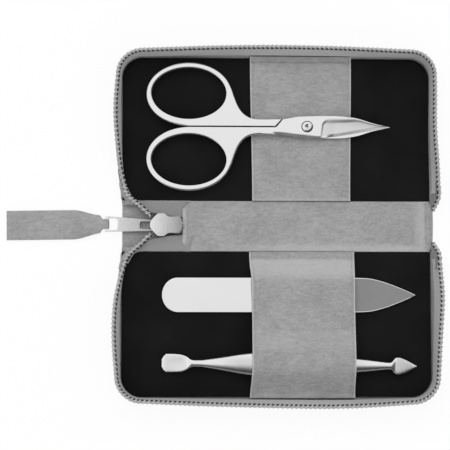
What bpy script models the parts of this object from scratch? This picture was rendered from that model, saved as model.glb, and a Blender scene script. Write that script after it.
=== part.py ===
"""Manicure set case: a leather zip case that lies open flat, with its three tools.

The lower half is the base. The spine folds up from it, and the upper half folds over
from the spine. Both folds turn about the X axis, level with the lining's top face.
The origin is the middle of the spine's underside: +X to the right, +Y towards the
upper half, +Z up out of the open case. All sizes are in metres.
"""

import math

import bmesh
import bpy
from mathutils import Vector

# Case panels
TRAY_LENGTH = 0.1146
TRAY_CORNER = 0.0075
SPINE_WIDTH = 0.0186
FOLD_GAP = 0.0006
COVER_THICK = 0.0010
BOARD_THICK = 0.0008
LINING_THICK = 0.0006
LAYER_GAP = 0.0002
SEAT_GAP = 0.0003
BOARD_MARGIN = 0.0012
CORNER_STEPS = 6

# Side walls and zip
WALL_THICK = 0.0012
WALL_END = 0.0050
WALL_SHARE = 0.75
WALL_BULGE_SHARE = 0.35
WALL_STEP = 0.0043
SEAM_MARGIN = 0.0017
RIM_HEIGHT = 0.0117
LEFT_RIM_HEIGHT = 0.0065
RIGHT_RIM_HEIGHT = 0.0098
RIM_RAMP_SHARE = 0.35
SIDE_SPLAY = 0.0035
OUTER_SPLAY = 0.0039
CORNER_SPLAY = 0.0025
LEFT_END_SPLAY = 0.0010
RIGHT_END_SPLAY = 0.0036
TAPE_THICK = 0.0004
COIL_WIDTH = 0.0018
COIL_HEIGHT = 0.0015
COIL_PITCH = 0.0017
COIL_NARROW_SHARE = 0.62
COIL_LOW_SHARE = 0.60

# Spine's inner patch, which ends short of the slider
PATCH_START = 0.0229
PATCH_HALF = 0.0068
PATCH_CORNER_RUN = 0.0034
FILLER_MARGIN = 0.0010

# Straps
STRAP_WIDTH = 0.0380
STRAP_CENTRE = 0.0092
STRAP_THICK = 0.0010
STRAP_END_GAP = 0.0004
HEM_RUN = 0.0018
HEM_THICK = 0.0006
STRAP_RUN_STEPS = 3

# Zip slider, puller and pull tab
SLIDER_INSET = 0.0104
SLIDER_Y = 0.0002
SLIDER_LENGTH = 0.0117
SLIDER_HALF = 0.00446
PLATE_THICK = 0.0007
CHANNEL_HEIGHT = 0.0014
ARCH_THICK = 0.0005
ARCH_POST = 0.0005
ARCH_HALF = 0.0009
ARCH_OPENING = 0.0026
EYE_BAR = 0.0010
PULLER_THICK = 0.0008
PULLER_GAP = 0.0002
PULLER_LENGTH = 0.0187
PULLER_EYE_HALF = 0.0022
PULLER_HALF = 0.0029
EYE_LENGTH = 0.0046
EYE_HALF = 0.0014
SLOT_BAR = 0.0013
SLOT_LENGTH = 0.0037
SLOT_HALF = 0.00215
PULLER_TURN = -0.03
TAB_TURN = 0.015
TAB_END = 0.0370
TAB_HALF = 0.00545
TAB_NECK_HALF = 0.0034
TAB_LOOP_HALF = 0.00185
TAB_LEATHER = 0.0008
TAB_LOOP_BORE = 0.00095
TAB_STEPS = 12
TABLE_GAP = 0.00005

# Scissors, in their own frame: origin at the screw, handles towards -X
SCREW_X = 0.01138
SCREW_DEPTH_SHARE = 0.513
BLADE_LENGTH = 0.0309
BLADE_HALF = 0.0042
BLADE_THICK = 0.0012
BLADE_GAP = 0.0003
HANDLE_THICK = 0.0022
HANDLE_BEVEL = 0.0007
SHANK_END = 0.0119
SHANK_WIDTH = 0.0029
SHOULDER_RUN = 0.0023
SLIT_HALF = 0.00015
LOOP_CENTRE_X = -0.0443
LOOP_CENTRE_Y = 0.01245
LOOP_HALF_LENGTH = 0.0138
LOOP_HALF_WIDTH = 0.0095
RING_WIDTH = 0.0021
RING_SLIT_WIDTH = 0.0028
RING_STEPS = 28
LOOP_START_ANGLE = -90.0
LOOP_TURN = -248.0
SCREW_RADIUS = 0.0012
SCREW_CLEARANCE = 0.0003
SCREW_HEAD_RADIUS = 0.0021
SCREW_HEAD_HEIGHT = 0.0005
SCREW_STEPS = 20
SCISSORS_CLEARANCE = 0.00285

# Nail file
FILE_LENGTH = 0.0940
FILE_WIDTH = 0.0127
FILE_THICK = 0.0010
FILE_BEVEL = 0.0002
FILE_X = 0.0046
FILE_DEPTH_SHARE = 0.303
FILE_ROUND_RUN = 0.0058
FILE_STEPS = 7

# Cuticle pusher
PUSHER_LENGTH = 0.0946
PUSHER_WIDTH = 0.0083
PUSHER_THICK = 0.0046
PUSHER_X = 0.0043
PUSHER_DEPTH_SHARE = 0.7807
PUSHER_TURN = -0.0133
PUSHER_SIDES = 12

SMOOTH_ANGLE = math.radians(35.0)

LINING_LOW = COVER_THICK + LAYER_GAP + BOARD_THICK + LAYER_GAP
LINING_TOP = LINING_LOW + LINING_THICK
FOLD_HEIGHT = LINING_TOP
STRAP_LOW = LINING_TOP + LAYER_GAP
TOOL_LOW = LINING_TOP + SEAT_GAP
HALF_LENGTH = TRAY_LENGTH / 2
HALF_SPINE = SPINE_WIDTH / 2
HALF_GAP = FOLD_GAP / 2
SLIDER_START = SLIDER_INSET - HALF_LENGTH
# The case is cut to the scissors, which span nearly the whole depth of their half
SCISSORS_HALF = LOOP_CENTRE_Y + LOOP_HALF_WIDTH + RING_WIDTH
TRAY_DEPTH = (SCISSORS_HALF + SCISSORS_CLEARANCE) * 2
# Each tool lies at a share of its half's depth, from the fold
SCREW_V = TRAY_DEPTH * SCREW_DEPTH_SHARE
FILE_V = TRAY_DEPTH * FILE_DEPTH_SHARE
PUSHER_V = TRAY_DEPTH * PUSHER_DEPTH_SHARE

GREY_LEATHER = ((0.36, 0.36, 0.36), 0.55, 0.0)
BLACK_FABRIC = ((0.012, 0.012, 0.012), 0.95, 0.0)
GREY_BOARD = ((0.30, 0.28, 0.25), 0.90, 0.0)
GREY_TAPE = ((0.30, 0.30, 0.30), 0.85, 0.0)
SILVER_COIL = ((0.62, 0.62, 0.62), 0.35, 0.6)
POLISHED_STEEL = ((0.78, 0.78, 0.79), 0.14, 1.0)
PLATED_ZINC = ((0.66, 0.66, 0.67), 0.25, 1.0)


def clear_scene():
    for thing in list(bpy.data.objects):
        bpy.data.objects.remove(thing, do_unlink=True)


def make_material(name, look):
    colour, roughness, metallic = look
    made = bpy.data.materials.new(name)
    made.use_nodes = True
    shader = made.node_tree.nodes["Principled BSDF"]
    shader.inputs["Base Color"].default_value = (*colour, 1)
    shader.inputs["Roughness"].default_value = roughness
    shader.inputs["Metallic"].default_value = metallic
    return made


def add_object(name, bm, look, location=(0, 0, 0), parent=None, turn=(0, 0, 0)):
    """Turn a mesh into a named object with its own material."""
    mesh = bpy.data.meshes.new(name)
    bm.to_mesh(mesh)
    bm.free()
    mesh.shade_smooth()
    mesh.set_sharp_from_angle(angle=SMOOTH_ANGLE)
    mesh.materials.append(make_material(name + "_finish", look))
    piece = bpy.data.objects.new(name, mesh)
    bpy.context.collection.objects.link(piece)
    piece.location = location
    piece.rotation_euler = turn
    piece.parent = parent
    return piece


def add_empty(name, location, parent=None, turn=(0, 0, 0)):
    empty = bpy.data.objects.new(name, None)
    bpy.context.collection.objects.link(empty)
    empty.location = location
    empty.rotation_euler = turn
    empty.parent = parent
    return empty


def hide_tool(tool):
    tool.hide_render = True
    tool.display_type = "WIRE"


def add_union(piece, tool):
    hide_tool(tool)
    union = piece.modifiers.new("union", "BOOLEAN")
    union.operation = "UNION"
    union.solver = "EXACT"
    union.object = tool


def add_bevel(piece, width, segments):
    bevel = piece.modifiers.new("bevel", "BEVEL")
    bevel.width = width
    bevel.segments = segments
    bevel.limit_method = "ANGLE"
    bevel.angle_limit = SMOOTH_ANGLE


def slab(outlines, low, high):
    """A plate between two heights. The outlines after the first are its holes."""
    bm = bmesh.new()
    edges = []
    for outline in outlines:
        verts = [bm.verts.new((x, y, low)) for x, y in outline]
        for first, second in zip(verts, verts[1:] + verts[:1]):
            edges.append(bm.edges.new((first, second)))
    bmesh.ops.triangle_fill(bm, use_beauty=True, edges=edges)
    grown = bmesh.ops.extrude_face_region(bm, geom=bm.faces[:])
    top = [item for item in grown["geom"] if isinstance(item, bmesh.types.BMVert)]
    bmesh.ops.translate(bm, verts=top, vec=(0, 0, high - low))
    bmesh.ops.recalc_face_normals(bm, faces=bm.faces[:])
    return bm


def loft(rings, closed=False):
    """A skin through rings of equally many points, capped at both ends unless closed."""
    bm = bmesh.new()
    rows = [[bm.verts.new(point) for point in ring] for ring in rings]
    pairs = list(zip(rows, rows[1:]))
    if closed:
        pairs.append((rows[-1], rows[0]))
    for near, far in pairs:
        for index in range(len(near)):
            after = (index + 1) % len(near)
            bm.faces.new((near[index], near[after], far[after], far[index]))
    if not closed:
        bm.faces.new(rows[0])
        bm.faces.new(list(reversed(rows[-1])))
    bmesh.ops.recalc_face_normals(bm, faces=bm.faces[:])
    return bm


def smooth_share(share):
    """An ease from 0 to 1 that starts and ends level."""
    held = min(1, max(0, share))
    return held * held * (3 - 2 * held)


def spline(points, steps):
    """Points on a smooth curve through the given ones (Catmull-Rom)."""
    padded = [points[0]] + list(points) + [points[-1]]
    curve = []
    for index in range(len(points) - 1):
        before, start, end, after = [Vector(point) for point in padded[index:index + 4]]
        for step in range(steps):
            t = step / steps
            curve.append(
                start
                + (end - before) * t / 2
                + (before * 2 - start * 5 + end * 4 - after) * t * t / 2
                + (start * 3 - before - end * 3 + after) * t * t * t / 2
            )
    curve.append(Vector(points[-1]))
    return curve


# Panels of one half: x along the case, v from the fold line outwards


def panel_outline(margin, end_margin):
    """Round-cornered outline of a half's layer, narrowed to end_margin at the fold."""
    radius = TRAY_CORNER + margin
    half = HALF_LENGTH + margin
    right = []
    for step in range(CORNER_STEPS + 1):
        angle = math.pi / 2 * step / CORNER_STEPS
        x = half - radius + radius * math.cos(angle)
        v = TRAY_DEPTH - TRAY_CORNER + radius * math.sin(angle)
        right.append((x, v))
    start = [(HALF_LENGTH + end_margin, HALF_GAP)]
    if margin != end_margin:
        start.append((half, WALL_END))
    right = start + right
    left = [(-x, v) for x, v in reversed(right)]
    return right + left


def to_half(outline, side):
    return [(x, side * v) for x, v in outline]


def rim_stations(spacing):
    """Even stations up the left side, along the outer side and down the right side.

    Each gives the lining's edge, the outward direction, the coil's splay beyond the
    lining and the rim's height.
    """
    side_run = TRAY_DEPTH - TRAY_CORNER - WALL_END
    corner_run = math.pi / 2 * (TRAY_CORNER + CORNER_SPLAY)
    outer_run = TRAY_LENGTH - 2 * TRAY_CORNER
    total = 2 * side_run + 2 * corner_run + outer_run
    count = 2 * round(total / spacing / 2)
    stations = []
    for index in range(count + 1):
        along = total * index / count
        stations.append(rim_station(along, side_run, corner_run, outer_run))
    return stations


def swell(start, middle, end, share):
    return start + (end - start) * share + (middle - (start + end) / 2) * math.sin(math.pi * share)


def rim_station(along, side_run, corner_run, outer_run):
    corner_x = HALF_LENGTH - TRAY_CORNER
    corner_v = TRAY_DEPTH - TRAY_CORNER
    rim = RIM_HEIGHT
    if along <= side_run:
        share = along / side_run
        ramp = smooth_share(share / RIM_RAMP_SHARE)
        rim = LEFT_RIM_HEIGHT + (RIM_HEIGHT - LEFT_RIM_HEIGHT) * ramp
        splay = swell(LEFT_END_SPLAY, SIDE_SPLAY, CORNER_SPLAY, share)
        return (-HALF_LENGTH, WALL_END + along, -1, 0, splay, rim)
    along -= side_run
    if along <= corner_run:
        angle = math.pi - math.pi / 2 * along / corner_run
        nx, nv = math.cos(angle), math.sin(angle)
        return (-corner_x + TRAY_CORNER * nx, corner_v + TRAY_CORNER * nv, nx, nv, CORNER_SPLAY, rim)
    along -= corner_run
    if along <= outer_run:
        splay = swell(CORNER_SPLAY, OUTER_SPLAY, CORNER_SPLAY, along / outer_run)
        return (-corner_x + along, TRAY_DEPTH, 0, 1, splay, rim)
    along -= outer_run
    if along <= corner_run:
        angle = math.pi / 2 - math.pi / 2 * along / corner_run
        nx, nv = math.cos(angle), math.sin(angle)
        return (corner_x + TRAY_CORNER * nx, corner_v + TRAY_CORNER * nv, nx, nv, CORNER_SPLAY, rim)
    along -= corner_run
    share = min(1, along / side_run)
    ramp = smooth_share((1 - share) / RIM_RAMP_SHARE)
    rim = RIGHT_RIM_HEIGHT + (RIM_HEIGHT - RIGHT_RIM_HEIGHT) * ramp
    splay = swell(CORNER_SPLAY, SIDE_SPLAY, RIGHT_END_SPLAY, share)
    return (HALF_LENGTH, corner_v - side_run * share, 1, 0, splay, rim)


def tape_top(station):
    return station[5] - COIL_HEIGHT - SEAT_GAP


def wall_top(station):
    low = COVER_THICK + LAYER_GAP
    return low + (tape_top(station) - low) * WALL_SHARE


def wall_lean(station, height):
    """How far outside the lining's edge the wall's inner face is at a height."""
    splay = station[4]
    reach = splay - COIL_WIDTH + TAPE_THICK
    share = max(0, (height - LINING_TOP) / (tape_top(station) - LINING_TOP))
    curved = share * (1 + WALL_BULGE_SHARE * (1 - share))
    return SEAT_GAP + reach * curved


def rim_point(side, station, offset, height):
    x, v, nx, nv = station[:4]
    return (x + nx * offset, side * (v + nv * offset), height)


def build_wall(side):
    rings = []
    for station in rim_stations(WALL_STEP):
        low = COVER_THICK + LAYER_GAP
        high = wall_top(station)
        heights = [low, LINING_TOP, (LINING_TOP + high) / 2, high]
        inner = [(wall_lean(station, z), z) for z in heights]
        outer = [(offset + WALL_THICK, z) for offset, z in reversed(inner)]
        rings.append([rim_point(side, station, *row) for row in inner + outer])
    return loft(rings)


def build_tape(side):
    rings = []
    for station in rim_stations(WALL_STEP):
        high = tape_top(station)
        low = max(TOOL_LOW, LINING_TOP + (high - LINING_TOP) / 3)
        heights = [low, (low + high) / 2, high]
        outer = [(wall_lean(station, z) - SEAT_GAP, z) for z in heights]
        inner = [(offset - TAPE_THICK, z) for offset, z in reversed(outer)]
        rings.append([rim_point(side, station, *row) for row in outer + inner])
    return loft(rings)


def build_coil(side):
    """The row of teeth: a ribbed band, one rib for each turn of the coil."""
    rings = []
    for index, station in enumerate(rim_stations(COIL_PITCH / 2)):
        splay, rim = station[4], station[5]
        full = index % 2 == 0
        width = COIL_WIDTH if full else COIL_WIDTH * COIL_NARROW_SHARE
        height = COIL_HEIGHT if full else COIL_HEIGHT * COIL_LOW_SHARE
        inner = splay - COIL_WIDTH
        low = rim - COIL_HEIGHT
        section = [(inner, low), (inner, low + height), (inner + width, low + height), (inner + width, low)]
        rings.append([rim_point(side, station, *row) for row in section])
    return loft(rings)


def build_chain_end(route, side):
    """The coil's loose end: the same ribbed band along a free route."""
    curve = spline(route, STRAP_RUN_STEPS * 2)
    length = sum((b - a).length for a, b in zip(curve, curve[1:]))
    count = 2 * round(length / COIL_PITCH)
    rings = []
    for index in range(count + 1):
        centre, along = point_along(curve, length * index / count)
        across = Vector((-along.y, along.x, 0)).normalized() * side
        full = index % 2 == 0
        half = COIL_WIDTH / 2 if full else COIL_WIDTH / 2 * COIL_NARROW_SHARE
        height = COIL_HEIGHT if full else COIL_HEIGHT * COIL_LOW_SHARE
        rise = Vector((0, 0, height))
        rings.append([centre - across * half, centre - across * half + rise,
                      centre + across * half + rise, centre + across * half])
    return loft(rings)


def point_along(curve, distance):
    for start, end in zip(curve, curve[1:]):
        step = (end - start).length
        if distance <= step:
            return start + (end - start) * distance / step, (end - start).normalized()
        distance -= step
    return curve[-1], (curve[-1] - curve[-2]).normalized()


# Straps


def build_strap(side, underside, hem_at_fold):
    """A leather band. The underside runs from fold to outer edge as (v, z) points."""
    under = spline([(v, z, 0) for v, z in underside], STRAP_RUN_STEPS)
    bottom = [(point.x, point.y) for point in under]
    top = [(v, z + STRAP_THICK) for v, z in bottom]
    if hem_at_fold:
        edge, level = bottom[0]
        run = edge + HEM_RUN
        top = [row for row in top if row[0] > run + LAYER_GAP]
        top = [(edge, level + HEM_THICK), (run, level + HEM_THICK), (run, level + STRAP_THICK)] + top
    else:
        edge, level = bottom[-1]
        run = edge - HEM_RUN
        top = [row for row in top if row[0] < run - LAYER_GAP]
        top += [(run, level + STRAP_THICK), (run, level + HEM_THICK), (edge, level + HEM_THICK)]
    profile = bottom + list(reversed(top))
    ends = (STRAP_CENTRE - STRAP_WIDTH / 2, STRAP_CENTRE + STRAP_WIDTH / 2)
    return loft([[(x, side * v, z) for v, z in profile] for x in ends])


def strap_ends():
    return STRAP_END_GAP + HALF_GAP, TRAY_DEPTH - STRAP_END_GAP


def flat_underside():
    start, end = strap_ends()
    return [(start, STRAP_LOW), ((start + end) / 2, STRAP_LOW), (end, STRAP_LOW)]


def bridged_underside():
    """The lower strap's underside, drawn tight over the file and the pusher."""
    start, end = strap_ends()
    file_half = FILE_WIDTH / 2
    over_file = TOOL_LOW + FILE_THICK + SEAT_GAP * 2
    over_pusher = TOOL_LOW + PUSHER_THICK + SEAT_GAP
    pusher_near = PUSHER_V - PUSHER_WIDTH / 2
    return [
        (start, STRAP_LOW),
        (start + HEM_RUN, STRAP_LOW),
        (FILE_V - file_half - HEM_RUN / 2, over_file),
        (FILE_V, over_file + SEAT_GAP),
        (FILE_V + file_half, over_file + SEAT_GAP * 2),
        (pusher_near, over_pusher - SEAT_GAP),
        (PUSHER_V, over_pusher),
        (PUSHER_V + PUSHER_WIDTH / 4, over_pusher - SEAT_GAP),
        (end - HEM_RUN * 1.5, STRAP_LOW + SEAT_GAP),
        (end, STRAP_LOW),
    ]


# Slider, puller and pull tab, along the case from the slider's nose

# Half outline of the slider's plates, nose first: share of length, share of half width
SLIDER_OUTLINE_SHARES = [
    (0.00, 0.22), (0.03, 0.62), (0.14, 0.92), (0.28, 1.00),
    (0.43, 0.97), (0.55, 0.76), (0.66, 0.72), (0.95, 0.73), (1.00, 0.60),
]
# Wedge between the plates that parts the two rows of teeth
SLIDER_WEDGE_SHARES = [(0.02, 0.10), (0.20, 0.34), (0.42, 0.16), (0.50, 0.04)]


def mirrored_outline(shares, length, half):
    lower = [(length * x, -half * y) for x, y in shares]
    upper = [(length * x, half * y) for x, y in reversed(shares)]
    return lower + upper


def arch_levels():
    """Heights of the arch's foot, the puller's middle and the lower plate."""
    foot = COVER_THICK + SEAT_GAP
    puller_low = foot + ARCH_THICK + SEAT_GAP
    middle = puller_low + PULLER_THICK / 2
    plate = puller_low + PULLER_THICK * 2
    return foot, middle, plate


def build_slider(parent, origin):
    """Two plates joined by a wedge, with an arch under the nose for the puller's eye."""
    foot, _, plate = arch_levels()
    base = origin.z
    outline = mirrored_outline(SLIDER_OUTLINE_SHARES, SLIDER_LENGTH, SLIDER_HALF)
    wedge = mirrored_outline(SLIDER_WEDGE_SHARES, SLIDER_LENGTH, SLIDER_HALF)
    upper = plate + PLATE_THICK + CHANNEL_HEIGHT
    overlap = PLATE_THICK / 2
    slider = add_object("zip_slider", slab([outline], plate - base, plate + PLATE_THICK - base),
                        PLATED_ZINC, parent=parent)
    top = add_object("slider_top_tool", slab([outline], upper - base, upper + PLATE_THICK - base),
                     PLATED_ZINC, parent=parent)
    core = add_object("slider_core_tool", slab([wedge], plate + overlap - base, upper + overlap - base),
                      PLATED_ZINC, parent=parent)
    post = ARCH_POST
    span = post * 2 + ARCH_OPENING
    high = plate + overlap
    profile = [(0, foot), (span, foot), (span, high), (span - post, high), (span - post, foot + ARCH_THICK),
               (post, foot + ARCH_THICK), (post, high), (0, high)]
    rings = [[(x, y, z - base) for x, z in profile] for y in (-ARCH_HALF, ARCH_HALF)]
    arch = add_object("slider_arch_tool", loft(rings), PLATED_ZINC, parent=parent)
    for tool in (core, top, arch):
        add_union(slider, tool)
    return slider


def rounded_box(low_x, high_x, half_low, half_high, radius):
    """A four-sided outline, symmetric about Y = 0, with its corners cut round."""
    corners = [(low_x, -half_low), (high_x, -half_high), (high_x, half_high), (low_x, half_low)]
    outline = []
    for index, corner in enumerate(corners):
        here = Vector(corner)
        before = (Vector(corners[index - 1]) - here).normalized() * radius
        after = (Vector(corners[(index + 1) % 4]) - here).normalized() * radius
        middle = here + (before + after) * (1 - math.sqrt(0.5))
        for point in (here + before, middle, here + after):
            outline.append((point.x, point.y))
    return outline


def build_puller(parent):
    """A tapered plate with an eye for the slider's arch and a slot for the tab."""
    outer = EYE_BAR / 2 - PULLER_LENGTH
    plate = rounded_box(outer, EYE_BAR / 2, PULLER_HALF, PULLER_EYE_HALF, EYE_BAR)
    eye = rounded_box(-EYE_BAR / 2 - EYE_LENGTH, -EYE_BAR / 2, EYE_HALF, EYE_HALF, EYE_HALF / 2)
    slot_start = outer + SLOT_BAR
    slot = rounded_box(slot_start, slot_start + SLOT_LENGTH, SLOT_HALF, SLOT_HALF, SLOT_HALF / 4)
    half = PULLER_THICK / 2
    return add_object("zip_puller", slab([plate, eye, slot], -half, half), PLATED_ZINC, parent=parent)


def build_tab(parent, level):
    """A leather strip folded through the puller's slot, its two layers laid together.

    Its origin is the slot's outer bar, and level is that bar's height over the table.
    """
    reach = TAB_LOOP_BORE + TAB_LEATHER
    loop_rings = []
    for step in range(TAB_STEPS):
        angle = 2 * math.pi * step / TAB_STEPS
        ring = []
        for radius, y in ((TAB_LOOP_BORE, -1), (reach, -1), (reach, 1), (TAB_LOOP_BORE, 1)):
            ring.append((radius * math.cos(angle), y * TAB_LOOP_HALF, radius * math.sin(angle)))
        loop_rings.append(ring)
    loop = add_object("tab_loop_tool", loft(loop_rings, closed=True), GREY_LEATHER, parent=parent)
    thick = TAB_LEATHER
    rest = TABLE_GAP - level + thick
    body = []
    # distance from the bar, half width, height of the middle
    stations = [
        (reach - TAB_LEATHER / 2, TAB_LOOP_HALF, 0),
        (reach + TAB_LEATHER, TAB_NECK_HALF, -TAB_LEATHER / 2),
        (TAB_END / 6, (TAB_NECK_HALF + TAB_HALF) / 2, rest / 2),
        (TAB_END / 3.5, TAB_HALF, rest),
        (TAB_END, TAB_HALF, rest),
    ]
    for run, half, height in stations:
        body.append([(-run, -half, height - thick), (-run, half, height - thick),
                     (-run, half, height + thick), (-run, -half, height + thick)])
    tab = add_object("pull_tab", loft(body), GREY_LEATHER, parent=parent)
    add_union(tab, loop)
    return tab


# Scissors


def handle_outlines():
    """One handle: finger loop, web and shank, with the loop's opening."""
    ring_half_x = LOOP_HALF_LENGTH + RING_WIDTH
    top = LOOP_CENTRE_Y + LOOP_HALF_WIDTH + RING_WIDTH
    bottom = LOOP_CENTRE_Y - LOOP_HALF_WIDTH - RING_SLIT_WIDTH
    centre_y = (top + bottom) / 2
    ring_half_y = (top - bottom) / 2
    outline = [(-SHANK_END, SLIT_HALF)]
    for step in range(RING_STEPS + 1):
        angle = math.radians(LOOP_START_ANGLE + LOOP_TURN * step / RING_STEPS)
        outline.append((LOOP_CENTRE_X + ring_half_x * math.cos(angle),
                        centre_y + ring_half_y * math.sin(angle)))
    last_x, last_y = outline[-1]
    web_end_x = last_x + SHANK_WIDTH * 3
    web_drop = last_y - SHANK_WIDTH
    # web from the loop down to the shank: share of run, share of drop
    for run_share, drop_share in ((0.12, 0.36), (0.27, 0.63), (0.48, 0.84), (0.72, 0.96), (1.0, 1.0)):
        outline.append((last_x + (web_end_x - last_x) * run_share, last_y - web_drop * drop_share))
    outline.append((SHOULDER_RUN - SHANK_END, SHANK_WIDTH))
    hole = []
    for step in range(RING_STEPS):
        angle = 2 * math.pi * step / RING_STEPS
        hole.append((LOOP_CENTRE_X + LOOP_HALF_LENGTH * math.cos(angle),
                     LOOP_CENTRE_Y + LOOP_HALF_WIDTH * math.sin(angle)))
    return outline, hole


# Blade from the tip back: share of blade length, share of half width; back, then edge
BLADE_BACK_SHARES = [(0.80, 0.33), (0.63, 0.72), (0.52, 0.88), (0.39, 0.98), (0.15, 0.98), (-0.10, 0.92)]
BLADE_EDGE_SHARES = [(-0.10, -0.80), (0.15, -0.84), (0.52, -0.58), (0.80, -0.16)]


def blade_outline():
    """One blade with its pivot plate, which runs into the shank on its -Y side."""
    outline = [(BLADE_LENGTH, 0)]
    outline += [(BLADE_LENGTH * x, BLADE_HALF * y) for x, y in BLADE_BACK_SHARES]
    corner = SHANK_END - SHOULDER_RUN - SEAT_GAP * 2
    outline.append((-corner, SHANK_WIDTH))
    outline.append((-SHANK_END + SEAT_GAP * 2, SLIT_HALF))
    outline.append((-SHANK_END - SHANK_WIDTH / 3, -SLIT_HALF - HANDLE_BEVEL))
    outline.append((-SHANK_END - SHANK_WIDTH / 3, HANDLE_BEVEL - SHANK_WIDTH))
    outline.append((-corner, HANDLE_BEVEL / 2 - SHANK_WIDTH))
    outline += [(BLADE_LENGTH * x, BLADE_HALF * y) for x, y in BLADE_EDGE_SHARES]
    return outline


def circle(radius, steps):
    turns = [2 * math.pi * step / steps for step in range(steps)]
    return [(radius * math.cos(angle), radius * math.sin(angle)) for angle in turns]


def build_scissor_member(name, parent, turn):
    """Handle below the slit, blade on the upper face. Turned over, it is the other one."""
    outline, hole = handle_outlines()
    lower = [[(x, -y) for x, y in loop] for loop in (outline, hole)]
    member = add_object(name, slab(lower, -HANDLE_THICK / 2, HANDLE_THICK / 2), POLISHED_STEEL,
                        parent=parent, turn=turn)
    bore = circle(SCREW_RADIUS + SCREW_CLEARANCE, SCREW_STEPS)
    plate = slab([blade_outline(), bore], BLADE_GAP / 2, BLADE_GAP / 2 + BLADE_THICK)
    blade = add_object(name + "_blade_tool", plate, POLISHED_STEEL, parent=parent, turn=turn)
    add_bevel(member, HANDLE_BEVEL, 2)
    add_union(member, blade)
    return member


def build_screw(parent):
    """Pivot screw: shank through both plates, low domed head on the front."""
    face = BLADE_GAP / 2 + BLADE_THICK
    seat = face + LAYER_GAP
    rows = [(SCREW_RADIUS, -face), (SCREW_RADIUS, seat), (SCREW_HEAD_RADIUS, seat),
            (SCREW_HEAD_RADIUS, seat + SCREW_HEAD_HEIGHT / 2),
            (SCREW_HEAD_RADIUS * 0.75, seat + SCREW_HEAD_HEIGHT)]
    rings = [[(x, y, z) for x, y in circle(radius, SCREW_STEPS)] for radius, z in rows]
    return add_object("pivot_screw", loft(rings), POLISHED_STEEL, parent=parent)


# Nail file and cuticle pusher

# Pointed end of the file: share of length from the handle end, share of half width
FILE_POINT_SHARES = [(0.80, 1.00), (0.835, 0.92), (0.888, 0.70), (0.941, 0.40), (0.980, 0.15), (1.0, 0.0)]


def build_file(parent):
    half = FILE_WIDTH / 2
    outline = []
    for step in range(FILE_STEPS * 2 + 1):
        angle = math.pi / 2 + math.pi * step / (FILE_STEPS * 2)
        outline.append((FILE_ROUND_RUN * (1 + math.cos(angle)), half * math.sin(angle)))
    outline += [(FILE_LENGTH * x, -half * y) for x, y in FILE_POINT_SHARES]
    outline += [(FILE_LENGTH * x, half * y) for x, y in reversed(FILE_POINT_SHARES[:-1])]
    shifted = [(x - FILE_LENGTH / 2, y) for x, y in outline]
    nail_file = add_object("nail_file", slab([shifted], 0, FILE_THICK), POLISHED_STEEL, parent=parent)
    add_bevel(nail_file, FILE_BEVEL, 1)
    return nail_file


# Sections of the pusher from the spatula's edge to the spear's tip:
# share of length, share of width, share of thickness
PUSHER_SECTION_SHARES = [
    (0.000, 0.30, 0.10), (0.006, 0.62, 0.11), (0.018, 0.80, 0.13), (0.052, 0.80, 0.17),
    (0.079, 0.70, 0.22), (0.100, 0.44, 0.32), (0.116, 0.32, 0.42), (0.152, 0.32, 0.50),
    (0.250, 0.60, 0.78), (0.356, 0.98, 0.97), (0.450, 1.00, 1.00), (0.545, 0.95, 1.00),
    (0.650, 0.81, 0.93), (0.761, 0.62, 0.80), (0.850, 0.41, 0.58), (0.896, 0.32, 0.46),
    (0.908, 0.45, 0.40), (0.921, 0.74, 0.32), (0.941, 0.72, 0.26), (0.972, 0.36, 0.18),
    (1.000, 0.04, 0.09),
]


def build_pusher(parent):
    rings = []
    for along, width, thick in PUSHER_SECTION_SHARES:
        x = PUSHER_LENGTH * (along - 0.5)
        half_y = PUSHER_WIDTH / 2 * width
        half_z = PUSHER_THICK / 2 * thick
        ring = []
        for y, z in circle(1, PUSHER_SIDES):
            ring.append((x, half_y * y, half_z * z))
        rings.append(ring)
    return add_object("cuticle_pusher", loft(rings), POLISHED_STEEL, parent=parent)


def build_half(name, side, strap_underside, hem_at_fold, place):
    """Cover, board, lining, wall, zip tape, teeth and strap of one half."""
    board_low = COVER_THICK + LAYER_GAP
    cover = to_half(panel_outline(SEAM_MARGIN, 0), side)
    board = to_half(panel_outline(-BOARD_MARGIN, -BOARD_MARGIN), side)
    lining = to_half(panel_outline(0, 0), side)
    place(name + "_cover", slab([cover], 0, COVER_THICK), GREY_LEATHER)
    place(name + "_board", slab([board], board_low, board_low + BOARD_THICK), GREY_BOARD)
    place(name + "_lining", slab([lining], LINING_LOW, LINING_TOP), BLACK_FABRIC)
    place(name + "_wall", build_wall(side), GREY_LEATHER)
    place(name + "_zip_tape", build_tape(side), GREY_TAPE)
    place(name + "_zip_teeth", build_coil(side), SILVER_COIL)
    place(name + "_strap", build_strap(side, strap_underside, hem_at_fold), GREY_LEATHER)


def build_spine(place):
    """Leather hinge strip: outer cover, and a padded inner patch right of the slider."""
    edge = HALF_SPINE - HALF_GAP
    cover = [(-HALF_LENGTH, -edge), (HALF_LENGTH, -edge), (HALF_LENGTH, edge), (-HALF_LENGTH, edge)]
    start = PATCH_START - HALF_LENGTH
    lining = [(start, -PATCH_HALF), (start + PATCH_CORNER_RUN, -edge), (HALF_LENGTH, -edge),
              (HALF_LENGTH, edge), (start + PATCH_CORNER_RUN, edge), (start, PATCH_HALF)]
    inner = edge - FILLER_MARGIN
    filler_start = start + PATCH_CORNER_RUN
    filler_end = HALF_LENGTH - FILLER_MARGIN
    filler = [(filler_start, -inner), (filler_end, -inner), (filler_end, inner), (filler_start, inner)]
    low = COVER_THICK + LAYER_GAP
    place("spine_cover", slab([cover], 0, COVER_THICK), GREY_LEATHER)
    place("spine_filler", slab([filler], low, low + BOARD_THICK), GREY_BOARD)
    place("spine_lining", slab([lining], LINING_LOW, LINING_TOP), GREY_LEATHER)


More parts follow.
